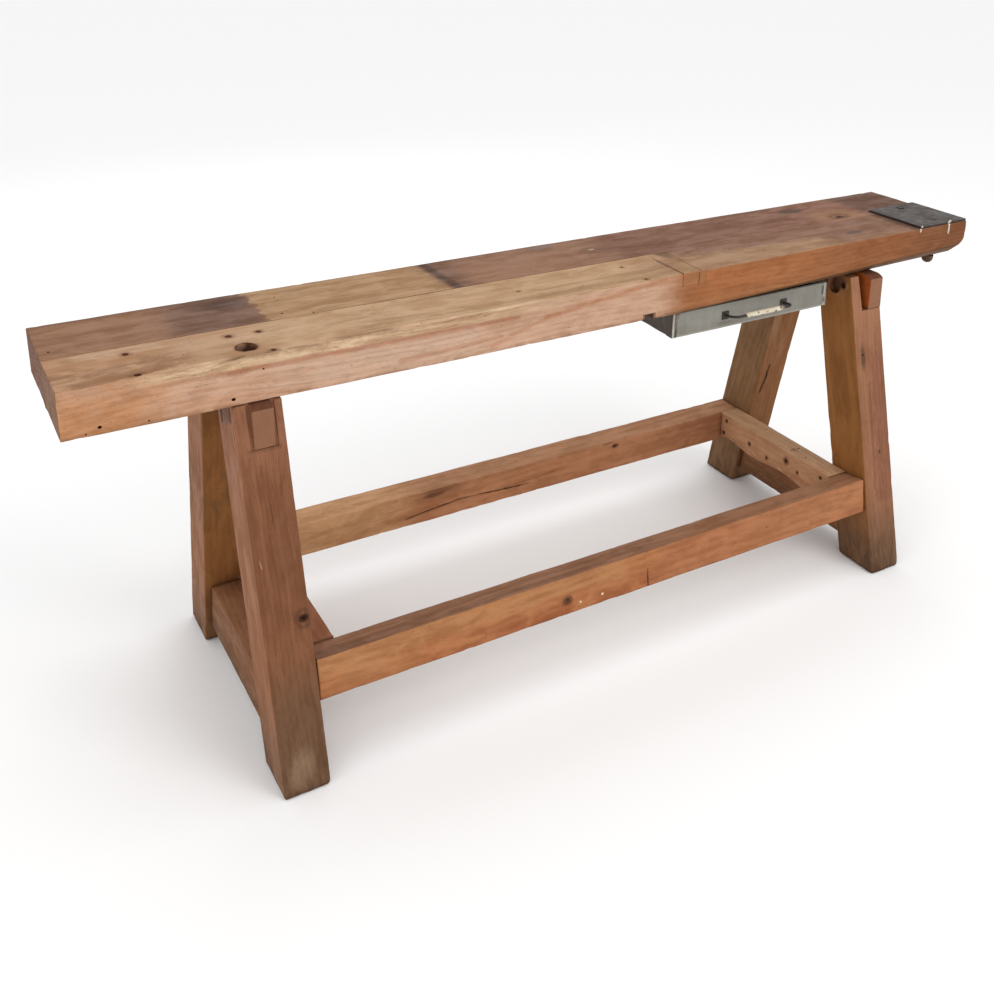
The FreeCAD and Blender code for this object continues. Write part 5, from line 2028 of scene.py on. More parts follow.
    @staticmethod
    def front_plank_dents() -> tuple[Dent, ...]:
        """Hollows worn and knocked into the front plank.

        Returns:
            The dents.
        """
        return (
            Dent(on_top(304, 45), (0.028, 0.026, 0.03), 0.0012),
            Dent(on_top(700, 20), (0.16, 0.03, 0.03), 0.0022),
            Dent(on_top(420, 15), (0.10, 0.02, 0.03), 0.0016),
            Dent(on_top(60, 0), (0.05, 0.02, 0.02), 0.0022),
            Dent(on_front(640, 700), (0.2, 0.03, 0.022), 0.0014),
            Dent(on_top(1000, 80), (0.09, 0.04, 0.03), 0.0009),
            Dent(on_front(1375, 752), (0.02, 0.01, 0.008), 0.002),
            Dent(on_front(1720, 750), (0.03, 0.01, 0.009), 0.002),
        )

    def back_plank(self) -> Block:
        """Back plank, dark with a pale stretch.

        Returns:
            The plank.
        """
        purple = (148, 107, 78)
        layers = (
            coat(purple, 0.95, UPWARDS, area((-20, 374), (100, 400), 5, 64)),
            coat((152, 112, 88), 0.6, UPWARDS, area((30, 330), (150, 230), 20, 40), Cover.STREAKY),
            coat((112, 82, 68), 0.75, UPWARDS, area((215, 378), (100, 400), 36, 70)),
            coat((86, 62, 54), 0.7, UPWARDS, Spot(on_top(330, 262), (0.05, 0.03, 0.03), 0.6, 0.9)),
            coat((108, 84, 72), 0.45, UPWARDS, area((-20, 900), (296, 320), 7, 14), Cover.STREAKY),
            coat((176, 139, 100), 0.92, UPWARDS, area((374, 730), (100, 400), 6, 60)),
            coat((146, 107, 82), 0.9, UPWARDS, area((744, 2010), (100, 400), 10, 14)),
            coat((112, 80, 64), 0.6, UPWARDS, Stroke(on_top(757, 310), on_top(768, 134), 0.07, 0.9, 0.6)),
            coat((78, 54, 42), 0.85, UPWARDS, Stroke(on_top(738, 310), on_top(744, 134), 0.02, 0.7, 0.8)),
            coat((168, 122, 94), 0.5, UPWARDS, area((780, 1010), (150, 250), 26, 50), Cover.PATCHY),
            coat((134, 92, 74), 0.75, UPWARDS, area((1130, 2010), (100, 400), 50, 90)),
            coat((116, 82, 66), 0.45, UPWARDS, area((1080, 1640), (150, 330), 20, 60), Cover.STREAKY,
                 bare=0.5),
            coat((120, 100, 92), 0.75, UPWARDS, Spot(on_top(1004, 288), (0.034, 0.014, 0.03))),
            coat((78, 62, 54), 0.75, UPWARDS, Spot(on_top(1682, 258), (0.034, 0.016, 0.03))),
            coat((164, 122, 94), 0.75, UPWARDS, Spot(on_top(1756, 172), (0.075, 0.052, 0.05), 0.4, 0.5)),
            coat((106, 74, 54), 0.6, UPWARDS, Ring(on_top(1756, 170), (0.024, 0.016, 0.03), 0.4)),
            coat((64, 38, 26), 0.9, UPWARDS, Spot(on_top(1756, 168), (0.013, 0.008, 0.02), 0.5, 0.8)),
            coat((90, 66, 56), 0.6, UPWARDS, area((1840, 2010), (100, 400), 20, 30)),
            coat((206, 190, 170), 0.7, UPWARDS, Spot(on_top(1096, 226), (0.008, 0.004, 0.01))),
            coat((132, 92, 66), 0.7, TO_BACK),
            coat((108, 76, 56), 0.5, TO_BACK, area((300, 1500), (100, 400), 60, 160), Cover.STREAKY),
        )
        finish = WoodFinish("back_plank_wood", tone(146, 108, 84), layers=layers, shift=3.0, contrast=0.16,
                            end_tone=tone(108, 65, 42))
        holes = ((405, 166, 2.2, 5), (456, 145, 2.2, 5), (419, 254, 1.8, 5), (18, 174, 2.4, 5),
                 (1750, 164, 2.2, 6), (1760, 173, 2.8, 7), (1768, 163, 1.8, 5), (620, 210, 1.1, 4),
                 (1310, 250, 1.4, 5), (905, 196, 1.3, 4), (1500, 188, 1.2, 4))
        cuts: list[Carving] = [Hole(on_top(x, y), r / 1000, d / 1000, INTO_TOP, 1.3)
                               for x, y, r, d in holes]
        cuts.append(Crack((on_top(445, 150), on_top(462, 147), on_top(480, 147)), 0.0012, 0.004, INTO_TOP))
        cuts.append(Crack((on_top(1560, 205), on_top(1650, 200), on_top(1735, 190)), 0.0008, 0.004,
                          INTO_TOP, 0.002))
        return Plank("top_back_plank", finish, "dark_top_wood", wear=0.0026, sway=0.0013,
                     step=self.plank_step,
                     seed=12, hollow=DIRTY_SHADED_HOLLOW, carvings=tuple(cuts), joint_behind=False,
                     dents=(Dent(on_top(1756, 170), (0.03, 0.02, 0.03), 0.0012),
                            Dent(on_top(560, 200), (0.1, 0.05, 0.03), 0.0008)))

    @staticmethod
    def patch() -> Block:
        """Patch let into the front plank.

        Returns:
            The patch.
        """
        layers = (
            coat((160, 104, 66), 0.9, TO_FRONT),
            coat((150, 108, 80), 0.5, UPWARDS, Spot(on_top(1215, 95), (0.03, 0.03, 0.03))),
            coat((120, 84, 62), 0.6, Stroke(on_top(1221, 95), on_top(1217, 0), 0.004)),
            coat((90, 58, 42), 0.7, Stroke(on_top(1177, 114), on_top(1171, -2), 0.006)),
            coat((98, 62, 44), 0.75, TO_FRONT, Stroke(on_front(1212, 750), on_front(1210, 724), 0.003)),
        )
        finish = WoodFinish("patch_wood", tone(168, 132, 98), layers=layers, shift=0.0)
        return Block("top_patch", finish, "patch_wood", wear=0.0007, sway=0.0004, step=0.006, seed=13)

    @staticmethod
    def plate() -> Block:
        """Steel plate let into the right end.

        Returns:
            The plate.
        """
        layers = (
            # Dark strip at the plate's left edge: painted shade on its side face
            coat((60, 52, 48), 0.7, area((1846, 1858), (-10, 400), 3, 4)),
            coat((54, 46, 42), 0.8, Spot(on_top(1939, 140), (0.022, 0.014, 0.03))),
            coat((84, 58, 44), 0.35, area((1840, 2010), (-10, 180), 1, 1), Cover.PATCHY, bare=0.5),
            coat(PALE_PAINT, 0.9, Stroke((0.856, -0.145, 0.7585), (0.852, -0.1495, 0.754), 0.004)),
            coat(PALE_PAINT, 0.95, Stroke((0.954, -0.142, 0.7585), (0.94, -0.1492, 0.756), 0.0044)),
        )
        finish = MetalFinish("plate_steel", tone(80, 72, 68), tone(60, 52, 49), metallic=0.5, rough=0.5,
                             layers=layers, grime_and_crevice_shade=tone(52, 42, 36), grime_share=0.35)
        return Block("end_plate", finish, "plate_steel", wear=0.0012, sway=0.0008, step=0.005, seed=14,
                     rows=(0.0, 0.0004, 0.001, 0.0018, 0.0026),
                     dents=(Dent(on_top(1939, 140), (0.02, 0.014, 0.05), 0.0012),
                            Dent((0.85, 0.017, 0.7585), (0.014, 0.014, 0.05), 0.0012),
                            Dent((0.93, -0.149, 0.7585), (0.03, 0.006, 0.05), 0.0006)))

    @staticmethod
    def dress_fixings() -> None:
        """Finish the fixings of the top."""
        dowel = WoodFinish("dowel_wood", tone(176, 138, 100))
        bolt = MetalFinish("bolt_steel", tone(70, 62, 57), tone(54, 44, 38), metallic=0.5, rough=0.5)
        nut = MetalFinish("nut_steel", tone(110, 74, 50), tone(78, 56, 42), metallic=0.3, rough=0.6)
        SmallParts("top_joint_dowels", dowel).dress()
        SmallParts("end_plate_bolts", bolt).dress()
        DomeNuts("end_plate_dome_nuts", nut, "rusty_steel").build()
        SmallParts("top_hold_down_screw", RUSTY, 0.0008).dress()
        SmallParts("bearer_coach_screws", RUSTY, 0.0008).dress()


# Steps in the left legs' slots, from the slot's sides to the bearer
LEFT_REBATES = ((-0.7175, -0.7097), (-0.6742, -0.6665))


@dataclass
class TrestlePair:
    """Both trestles and the stretchers that tie them."""

    def build(self) -> None:
        """Make every piece of the trestles."""
        for leg in (self.front_left_leg(), self.back_left_leg(), self.front_right_leg(),
                    self.back_right_leg()):
            leg.build()
        for offset, end in enumerate(("left", "right")):
            self.bearer(end, offset).build()
            self.foot_rail(end, offset).build()
            self.batten(end, offset).build()
        self.front_stretcher().build()
        self.back_stretcher().build()
        # Lower part of the right peg's end made lighter: painted light
        painted_lit_lower_part = coat((128, 90, 50), 0.85, TO_LEFT, Slope(0, 0.5, 0.6), Slope(2, 0.642, 0.63, 0.01))
        peg = WoodFinish("peg_wood", tone(104, 68, 46), layers=(painted_lit_lower_part,), grain=Grain.ALONG,
                         contrast=0.3)
        for end in ("left", "right"):
            SmallParts(f"{end}_bearer_pegs", peg, 0.0012).dress()
            SmallParts(f"{end}_batten_nails", RUSTY).dress()

    @staticmethod
    def foot_dirt(share: float = 0.75) -> tuple[Layer, ...]:
        """Grey and dark marks at the foot of a leg.

        Args:
            share: How strong the marks are.

        Returns:
            The layers.
        """
        return (
            coat((112, 84, 62), share * 0.8, Slope(2, 0.2, 0.04, 0.06)),
            coat((84, 60, 44), share * 0.6, Slope(2, 0.09, 0.01, 0.05), Cover.PATCHY, bare=0.5),
            coat((84, 60, 44), 0.7, Slope(2, 0.014, 0.002, 0.01)),
        )

    def front_left_leg(self) -> Block:
        """Leg nearest to the camera.

        Returns:
            The leg.
        """
        layers = (
            coat((164, 111, 78), 0.9, TO_LEFT),
            coat((134, 88, 61), 0.95, TO_FRONT),
            coat((156, 107, 80), 0.7, TO_FRONT, Slope(2, 0.5, 0.66, 0.05)),
            coat((116, 73, 50), 0.45, TO_FRONT, Zone((-0.9, -0.9, 0.3), (0.0, 0.0, 0.52), 0.08, 0.1),
                 Cover.STREAKY),
            coat((106, 78, 56), 0.7, TO_FRONT, Slope(2, 0.26, 0.14, 0.08)),
            coat((134, 90, 60), 0.8, TO_BACK),
            *self.foot_dirt(),
            coat((160, 130, 104), 0.5, TO_FRONT, Spot((-0.7, -0.297, 0.045), (0.02, 0.03, 0.03), 0.6, 1.2)),
            coat((92, 60, 44), 0.6, Ring((-0.666, -0.237, 0.298), (0.013, 0.02, 0.015), 0.5)),
            coat((44, 28, 20), 0.95, Spot((-0.666, -0.237, 0.298), (0.009, 0.02, 0.007), 0.4, 0.7)),
            coat((198, 164, 138), 0.5, Stroke((-0.727, -0.208, 0.414), (-0.724, -0.213, 0.398), 0.0016)),
            coat((190, 156, 130), 0.5, Stroke((-0.719, -0.223, 0.358), (-0.7175, -0.225, 0.352), 0.0016)),
            coat((190, 156, 130), 0.35, Stroke((-0.706, -0.17, 0.585), (-0.704, -0.174, 0.568), 0.0014)),
            # Thin dark band just under the bearer's end: painted shadow
            coat((104, 68, 48), 0.5, TO_FRONT,
                 Zone((-0.722, -0.9, 0.589), (-0.664, 0.0, 0.594), 0.003, 0.006)),
            # Dark marks on both sides of the peg: painted shadow in the peg hole
            coat((60, 37, 22), 0.95, TO_LEFT, Stroke((-0.738, -0.075, 0.65), (-0.738, -0.079, 0.62),
                                                     0.014)),
            coat((84, 46, 28), 0.9, TO_LEFT, Stroke((-0.738, -0.128, 0.66), (-0.738, -0.132, 0.64), 0.013)),
        )
        finish = WoodFinish("front_left_leg_wood", tone(140, 94, 68), Grain.FRONT_LEG, layers, shift=1.0,
                            grime_and_crevice_shade=0.15)
        cuts = (
            Hole((-0.6655, -0.2367, 0.2975), 0.0038, 0.008, INTO_FRONT, 1.5, 0.6),
            Crack(((-0.7375, -0.1445, 0.642), (-0.7375, -0.147, 0.622), (-0.7375, -0.1515, 0.604)), 0.0018,
                  0.006, INTO_LEFT),
            Crack(((-0.697, -0.1805, 0.541), (-0.694, -0.2015, 0.45)), 0.0006, 0.003, INTO_FRONT, 0.002),
        )
        return Leg("front_left_leg", finish, "leg_wood", wear=0.0028, sway=0.0012, seed=20,
                   hollow=DIRTY_SHADED_HOLLOW, rebates=LEFT_REBATES, carvings=cuts)

    def back_left_leg(self) -> Block:
        """Leg behind the nearest one.

        Returns:
            The leg.
        """
        layers = (
            coat((158, 106, 72), 0.9, TO_LEFT),
            # Golden inner face, darker towards the top under the bench top: painted shade
            coat((143, 94, 52), 0.95, TO_FRONT),
            coat((104, 68, 40), 0.5, TO_FRONT, Slope(2, 0.52, 0.66, 0.04)),
            coat((138, 94, 64), 0.8, TO_BACK),
            coat((100, 74, 50), 0.4, Zone((-0.9, 0.0, 0.3), (0.0, 0.3, 0.42), 0.05, 0.1), Cover.PATCHY),
            *self.foot_dirt(0.6),
        )
        finish = WoodFinish("back_left_leg_wood", tone(140, 98, 64), Grain.BACK_LEG, layers, shift=2.0)
        return Leg("back_left_leg", finish, "leg_wood", wear=0.0028, sway=0.0012, seed=21, side=1,
                   hollow=DIRTY_SHADED_HOLLOW, rebates=LEFT_REBATES)

    def front_right_leg(self) -> Block:
        """Front leg at the drawer's end.

        Returns:
            The leg.
        """
        layers = (
            # Golden left face, darker towards the top under the bench top: painted shade
            coat((158, 104, 54), 0.95, TO_LEFT),
            coat((116, 80, 50), 0.5, TO_LEFT, Slope(2, 0.6, 0.67, 0.03)),
            coat((122, 82, 44), 0.4, TO_LEFT, Zone((0.5, -0.9, 0.3), (0.9, 0.0, 0.48), 0.06, 0.1),
                 Cover.STREAKY),
            coat((154, 106, 78), 0.95, TO_FRONT),
            coat((168, 122, 92), 0.5, TO_FRONT, Slope(2, 0.42, 0.62, 0.06), Cover.STREAKY, bare=0.4),
            coat((134, 86, 66), 0.6, TO_FRONT, Zone((0.678, -0.9, 0.16), (0.8, 0.0, 0.5), 0.012, 0.03)),
            coat((120, 74, 56), 0.5, TO_FRONT, Stroke((0.668, -0.262, 0.19), (0.672, -0.205, 0.43), 0.007)),
            coat((152, 92, 72), 0.6, TO_FRONT, Stroke((0.664, -0.18, 0.545), (0.661, -0.2, 0.455), 0.004)),
            coat((82, 62, 50), 0.75, TO_FRONT, Spot((0.659, -0.19, 0.492), (0.006, 0.02, 0.028), 0.5, 0.6)),
            coat((86, 60, 46), 0.7, TO_FRONT, Spot((0.688, -0.242, 0.272), (0.004, 0.02, 0.005), 0.5, 0.6)),
            coat((134, 94, 66), 0.8, TO_BACK),
            coat((134, 94, 66), 0.8, TO_RIGHT),
            *self.foot_dirt(1.15),
            # Dark stroke towards the peg hole: painted shadow under the top; the light stroke after it is a
            # painted highlight on the hole's rim
            coat((84, 56, 38), 0.8, TO_LEFT, Stroke((0.638, -0.128, 0.65), (0.638, -0.075, 0.652), 0.026)),
            coat((164, 118, 80), 0.6, TO_LEFT,
                 Stroke((0.638, -0.1425, 0.652), (0.638, -0.1415, 0.64), 0.005)),
            # Orange wall inside the slot: painted warm shade
            coat((176, 94, 44), 0.9, Facing((1.0, 0.0, 0.0), 0.3, 0.6),
                 Zone((0.645, -0.21, 0.588), (0.7, -0.02, 0.672), 0.003)),
        )
        finish = WoodFinish("front_right_leg_wood", tone(132, 84, 52), Grain.FRONT_LEG, layers, shift=3.0,
                            streaks=0.9)
        cuts = (
            Hole((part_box("front_right_leg")[0].x, -0.130, 0.6455), 0.0068, 0.012, INTO_LEFT, 1.15),
            Hole((0.6586, -0.1915, 0.4960), 0.0022, 0.006, INTO_FRONT, 1.5),
            Hole((0.6885, -0.2424, 0.2735), 0.0014, 0.005, INTO_FRONT, 1.4),
            Crack(((0.7, -0.172, 0.58), (0.699, -0.1863, 0.517), (0.7025, -0.2, 0.458)), 0.0007, 0.003,
                  INTO_FRONT, 0.002),
        )
        return Leg("front_right_leg", finish, "leg_wood", wear=0.0028, sway=0.0012, seed=22,
                   hollow=DIRTY_SHADED_HOLLOW, carvings=cuts)

    def back_right_leg(self) -> Block:
        """Back leg behind the drawer.

        Returns:
            The leg.
        """
        layers = (
            coat((140, 104, 70), 0.95, TO_LEFT),
            coat((118, 88, 62), 0.5, TO_LEFT, Slope(2, 0.34, 0.62, 0.1), Cover.PATCHY, bare=0.38),
            coat((156, 108, 70), 0.95, TO_FRONT),
            coat((186, 148, 118), 0.5, TO_FRONT, Slope(2, 0.4, 0.5, 0.04),
                 Zone((0.64, 0.0, 0.3), (0.662, 0.3, 0.62), 0.006, 0.01)),
            coat((70, 46, 32), 0.85, TO_FRONT, Stroke((0.6665, 0.115, 0.355), (0.655, 0.133, 0.275),
                                                      0.006)),
            coat((134, 94, 66), 0.8, TO_BACK),
            *self.foot_dirt(0.6),
        )
        finish = WoodFinish("back_right_leg_wood", tone(142, 98, 66), Grain.BACK_LEG, layers, shift=4.0)
        cuts = (
            Crack(((0.668, 0.1165, 0.352), (0.6635, 0.1205, 0.334), (0.6655, 0.1255, 0.313),
                   (0.6600, 0.1300, 0.295),
                   (0.6575, 0.134, 0.278)), 0.0042, 0.007, INTO_FRONT, 0.003),
        )
        return Leg("back_right_leg", finish, "leg_wood", wear=0.0028, sway=0.0012, seed=23, side=1,
                   hollow=DIRTY_SHADED_HOLLOW, carvings=cuts)

    @staticmethod
    def bearer(end: str, offset: int) -> Block:
        """Bar through the leg tops.

        Args:
            end: Which trestle, left or right.
            offset: 0 for the left one and 1 for the right one.

        Returns:
            The bearer.
        """
        left = (
            coat((142, 98, 73), 0.9, TO_FRONT),
            # Chamfered top darker: painted shade under the bench top
            coat((104, 66, 48), 0.9, UPWARDS),
            # Light line along the upper arris of the end: painted highlight
            coat((186, 140, 108), 0.6, Stroke((-0.7105, -0.194, 0.661), (-0.682, -0.194, 0.661), 0.0022)),
            coat((142, 98, 72), 0.9, TO_LEFT),
        )
        right = (
            coat((158, 110, 84), 0.9, TO_FRONT),
            # Orange left flank inside the leg's slot: painted warm shade
            coat((176, 92, 42), 0.95, TO_LEFT),
            # Chamfered top darker: painted shade under the bench top
            coat((104, 66, 48), 0.9, UPWARDS),
        )
        finish = WoodFinish(f"{end}_bearer_wood", tone(142, 96, 68), Grain.ACROSS,
                            right if offset else left, shift=float(offset), end_tone=tone(148, 104, 79),
                            grime_and_crevice_shade=0.15, specks=0.1)
        return Bearer(f"{end}_bearer", finish, "bearer_wood", wear=0.0018, sway=0.0009, step=0.006,
                      seed=30 + offset)

    def foot_rail(self, end: str, offset: int) -> Block:
        """Low rail between a trestle's legs.

        Args:
            end: Which trestle, left or right.
            offset: 0 for the left one and 1 for the right one.

        Returns:
            The rail.
        """
        layers = (
            coat((141, 96, 64), 0.85, TO_LEFT),
            coat((156, 110, 78), 0.8, UPWARDS),
            coat((100, 74, 54), 0.6, TO_LEFT, Slope(2, 0.1, 0.045, 0.04), Cover.PATCHY, bare=0.42),
            # Underside darker: painted shade
            coat((84, 62, 46), 0.6, DOWNWARDS),
        )
        finish = WoodFinish(f"{end}_rail_wood", tone(138, 98, 70), Grain.ACROSS, layers, shift=4.0 + offset)
        return FootRail(f"{end}_foot_rail", finish, "leg_wood", wear=0.003, sway=0.0014, seed=32 + offset,
                        cut_as_frame=False)

    @staticmethod
    def batten(end: str, offset: int) -> Block:
        """Batten between the stretchers.

        Args:
            end: Which trestle, left or right.
            offset: 0 for the left one and 1 for the right one.

        Returns:
            The batten.
        """
        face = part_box(f"{end}_batten")[offset ^ 1].x
        into = (1.0, 0.0, 0.0) if offset else (-1.0, 0.0, 0.0)
        marks = ((0.079, 0.174, 3.0), (0.014, 0.165, 2.6), (-0.054, 0.188, 4.2), (-0.094, 0.176, 2.2))
        top_marks = ((-0.056, 0.022, 2.2), (-0.1, 0.004, 2.0), (0.06, 0.02, 1.4))
        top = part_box(f"{end}_batten")[1].z
        rims = tuple(coat((122, 74, 48), 0.85, Spot((face, y, z), (0.02, r * 0.0022, r * 0.0026)))
                     for y, z, r in marks)
        layers = (
            coat((198, 160, 124) if offset else (160, 106, 74), 0.6, UPWARDS),
            coat((160, 112, 82), 0.5, Slope(2, 0.175, 0.148, 0.02), Cover.PATCHY, bare=0.42),
            *rims,
            coat((140, 96, 68), 0.6, Spot((face + into[0] * 0.022, -0.056, top), (0.012, 0.007, 0.02))),
        )
        base = tone(188, 142, 106) if offset else tone(152, 102, 72)
        finish = WoodFinish(f"{end}_batten_wood", base, Grain.ACROSS, layers, shift=6.0 + offset, grime_and_crevice_shade=0.4)
        cuts: list[Carving] = [Hole((face, y, z), r / 1000, 0.006, into, 1.3) for y, z, r in marks]
        cuts += [Hole((face + into[0] * (0.014 + x), y, top), r / 1000, 0.006, INTO_TOP, 1.3)
                 for y, x, r in top_marks]
        return Batten(f"{end}_batten", finish, "batten_wood", wear=0.0018, sway=0.0009, step=0.006,
                      seed=34 + offset, hollow=DIRTY_SHADED_HOLLOW, carvings=tuple(cuts))

    @staticmethod
    def front_stretcher() -> Block:
        """Front bar, orange with a dark top.

        Returns:
            The stretcher.
        """
        layers = (
            coat((178, 118, 76), 0.95, TO_FRONT),
            coat((181, 128, 85), 0.75, TO_FRONT, Zone((-0.66, -0.4, 0.184), (-0.02, 0.0, 0.3), 0.012, 0.03),
                 Cover.STREAKY, bare=0.36),
            coat((184, 133, 90), 0.5, TO_FRONT, Spot((-0.57, -0.255, 0.172), (0.05, 0.1, 0.02), 0.6, 0.8)),
            coat((160, 90, 58), 0.55, TO_FRONT, Zone((-0.45, -0.4, 0.1), (0.05, 0.0, 0.172), 0.02, 0.05),
                 Cover.PATCHY, bare=0.42),
            coat((175, 114, 78), 0.75, TO_FRONT, Slope(0, 0.02, 0.1, 0.05)),
            coat((176, 122, 84), 0.5, TO_FRONT, Zone((0.3, -0.4, 0.15), (0.66, 0.0, 0.215), 0.03, 0.06),
                 Cover.STREAKY, bare=0.42),
            coat((154, 110, 80), 0.9, Facing((0.0, 0.1, 1.0), 0.55, 0.85)),
            coat((96, 68, 58), 0.45, Facing((0.0, 0.1, 1.0), 0.55, 0.85),
                 Zone((-0.66, -0.4, 0.2), (0.1, -0.215, 0.3), 0.03, 0.02), Cover.STREAKY, bare=0.46),
            coat((138, 98, 70), 0.8, TO_BACK),
            coat((76, 50, 38), 0.8, Spot((-0.151, -0.259, 0.172), (0.011, 0.02, 0.009), 0.5, 0.8)),
            coat((236, 226, 206), 0.9, Spot((-0.071, -0.26, 0.161), (0.0032, 0.01, 0.0026), 0.3)),
            coat((228, 214, 190), 0.85, Spot((-0.122, -0.26, 0.16), (0.0022, 0.01, 0.0022), 0.3)),
            coat((74, 44, 30), 0.6, TO_FRONT,
                 Stroke((0.0385, -0.258, 0.182), (0.0378, -0.263, 0.139), 0.004)),
            coat((122, 84, 60), 0.5, Slope(2, 0.152, 0.138, 0.01), Cover.PATCHY, bare=0.45),
        )
        finish = WoodFinish("front_stretcher_wood", tone(170, 110, 72), layers=layers, shift=7.0,
                            contrast=0.15, ring_width=0.014)
        cuts = (
            Crack(((0.0385, -0.2578, 0.181), (0.0381, -0.2605, 0.162), (0.0378, -0.2642, 0.136)), 0.0018,
                  0.012, INTO_FRONT, 0.0004),
            Hole((-0.1500, -0.2588, 0.1725), 0.0022, 0.006, INTO_FRONT, 1.5),
            Hole((0.35, -0.2573, 0.183), 0.0013, 0.005, INTO_FRONT, 1.3),
            Hole((-0.33, -0.2603, 0.162), 0.0011, 0.005, INTO_FRONT, 1.3),
        )
        return Stretcher("front_stretcher", finish, "stretcher_wood", wear=0.003, sway=0.0015, seed=40,
                         cut_as_frame=False, hollow=DIRTY_SHADED_HOLLOW, carvings=cuts)

    @staticmethod
    def back_stretcher() -> Block:
        """Back bar, split and knotty.

        Returns:
            The stretcher.
        """
        layers = (
            coat((186, 128, 91), 0.95, TO_FRONT),
            coat((206, 158, 114), 0.9, TO_FRONT, Slope(0, -0.22, -0.36, 0.06)),
            coat((156, 98, 62), 0.5, TO_FRONT, Stroke((-0.44, 0.19, 0.14), (-0.17, 0.19, 0.186), 0.02,
                                                      0.7)),
            coat((112, 76, 54), 0.6, TO_FRONT, Spot((-0.214, 0.19, 0.205), (0.05, 0.05, 0.012), 0.8, 1.2)),
            coat((78, 52, 38), 0.55, TO_FRONT, Spot((-0.225, 0.19, 0.199), (0.024, 0.03, 0.004), 0.8, 1.3)),
            coat((84, 54, 38), 0.7, TO_FRONT, Stroke((-0.29, 0.19, 0.157), (-0.16, 0.19, 0.171), 0.006)),
            coat((84, 54, 38), 0.7, TO_FRONT, Stroke((-0.16, 0.19, 0.171), (0.02, 0.19, 0.163), 0.006)),
            coat((120, 78, 54), 0.6, TO_FRONT, Stroke((-0.05, 0.19, 0.168), (0.09, 0.19, 0.176), 0.005)),
            coat((172, 116, 78), 0.5, TO_FRONT, Zone((-0.12, 0.1, 0.1), (0.68, 0.4, 0.17), 0.02, 0.04),
                 Cover.STREAKY, bare=0.4),
            coat((160, 106, 76), 0.5, TO_FRONT, Slope(0, 0.28, 0.5, 0.1), Cover.PATCHY, bare=0.4),
            coat((60, 38, 28), 0.85, Spot((0.258, 0.19, 0.2), (0.01, 0.02, 0.0055), 0.5, 0.7)),
            coat((74, 50, 38), 0.8, Spot((0.237, 0.195, 0.2155), (0.016, 0.02, 0.007), 0.5, 0.9)),
            coat((182, 133, 97), 0.85, UPWARDS),
            coat((206, 158, 114), 0.85, UPWARDS, Slope(0, -0.22, -0.36, 0.06)),
            coat((146, 104, 74), 0.8, TO_BACK),
        )
        finish = WoodFinish("back_stretcher_wood", tone(160, 112, 80), layers=layers, shift=8.0,
                            contrast=0.16, ring_width=0.015)
        cuts = (
            Crack(((-0.292, 0.1899, 0.1555), (-0.24, 0.1899, 0.1635), (-0.163, 0.1899, 0.1715),
                   (-0.121, 0.1899, 0.1700)), 0.0022, 0.010, INTO_FRONT, 0.0016),
            Crack(((-0.119, 0.1899, 0.1725), (-0.065, 0.1899, 0.1665), (0.014, 0.1899, 0.1625)), 0.0026,
                  0.010, INTO_FRONT, 0.0016),
            Hole((0.2575, 0.1903, 0.2), 0.0022, 0.006, INTO_FRONT, 1.5),
            Hole((0.52, 0.1905, 0.185), 0.0012, 0.005, INTO_FRONT, 1.3),
        )
        return Stretcher("back_stretcher", finish, "stretcher_wood", wear=0.0034, sway=0.0016, seed=41,
                         side=1,
                         width=0.065, height=0.077, tilt=math.radians(1.5), cut_as_frame=False,
                         hollow=DIRTY_SHADED_HOLLOW, carvings=cuts,
                         dents=(Dent((-0.5, 0.1905, 0.2155), (0.14, 0.016, 0.012), 0.004),
                                Dent((0.02, 0.1905, 0.2155), (0.10, 0.012, 0.010), 0.0025)))


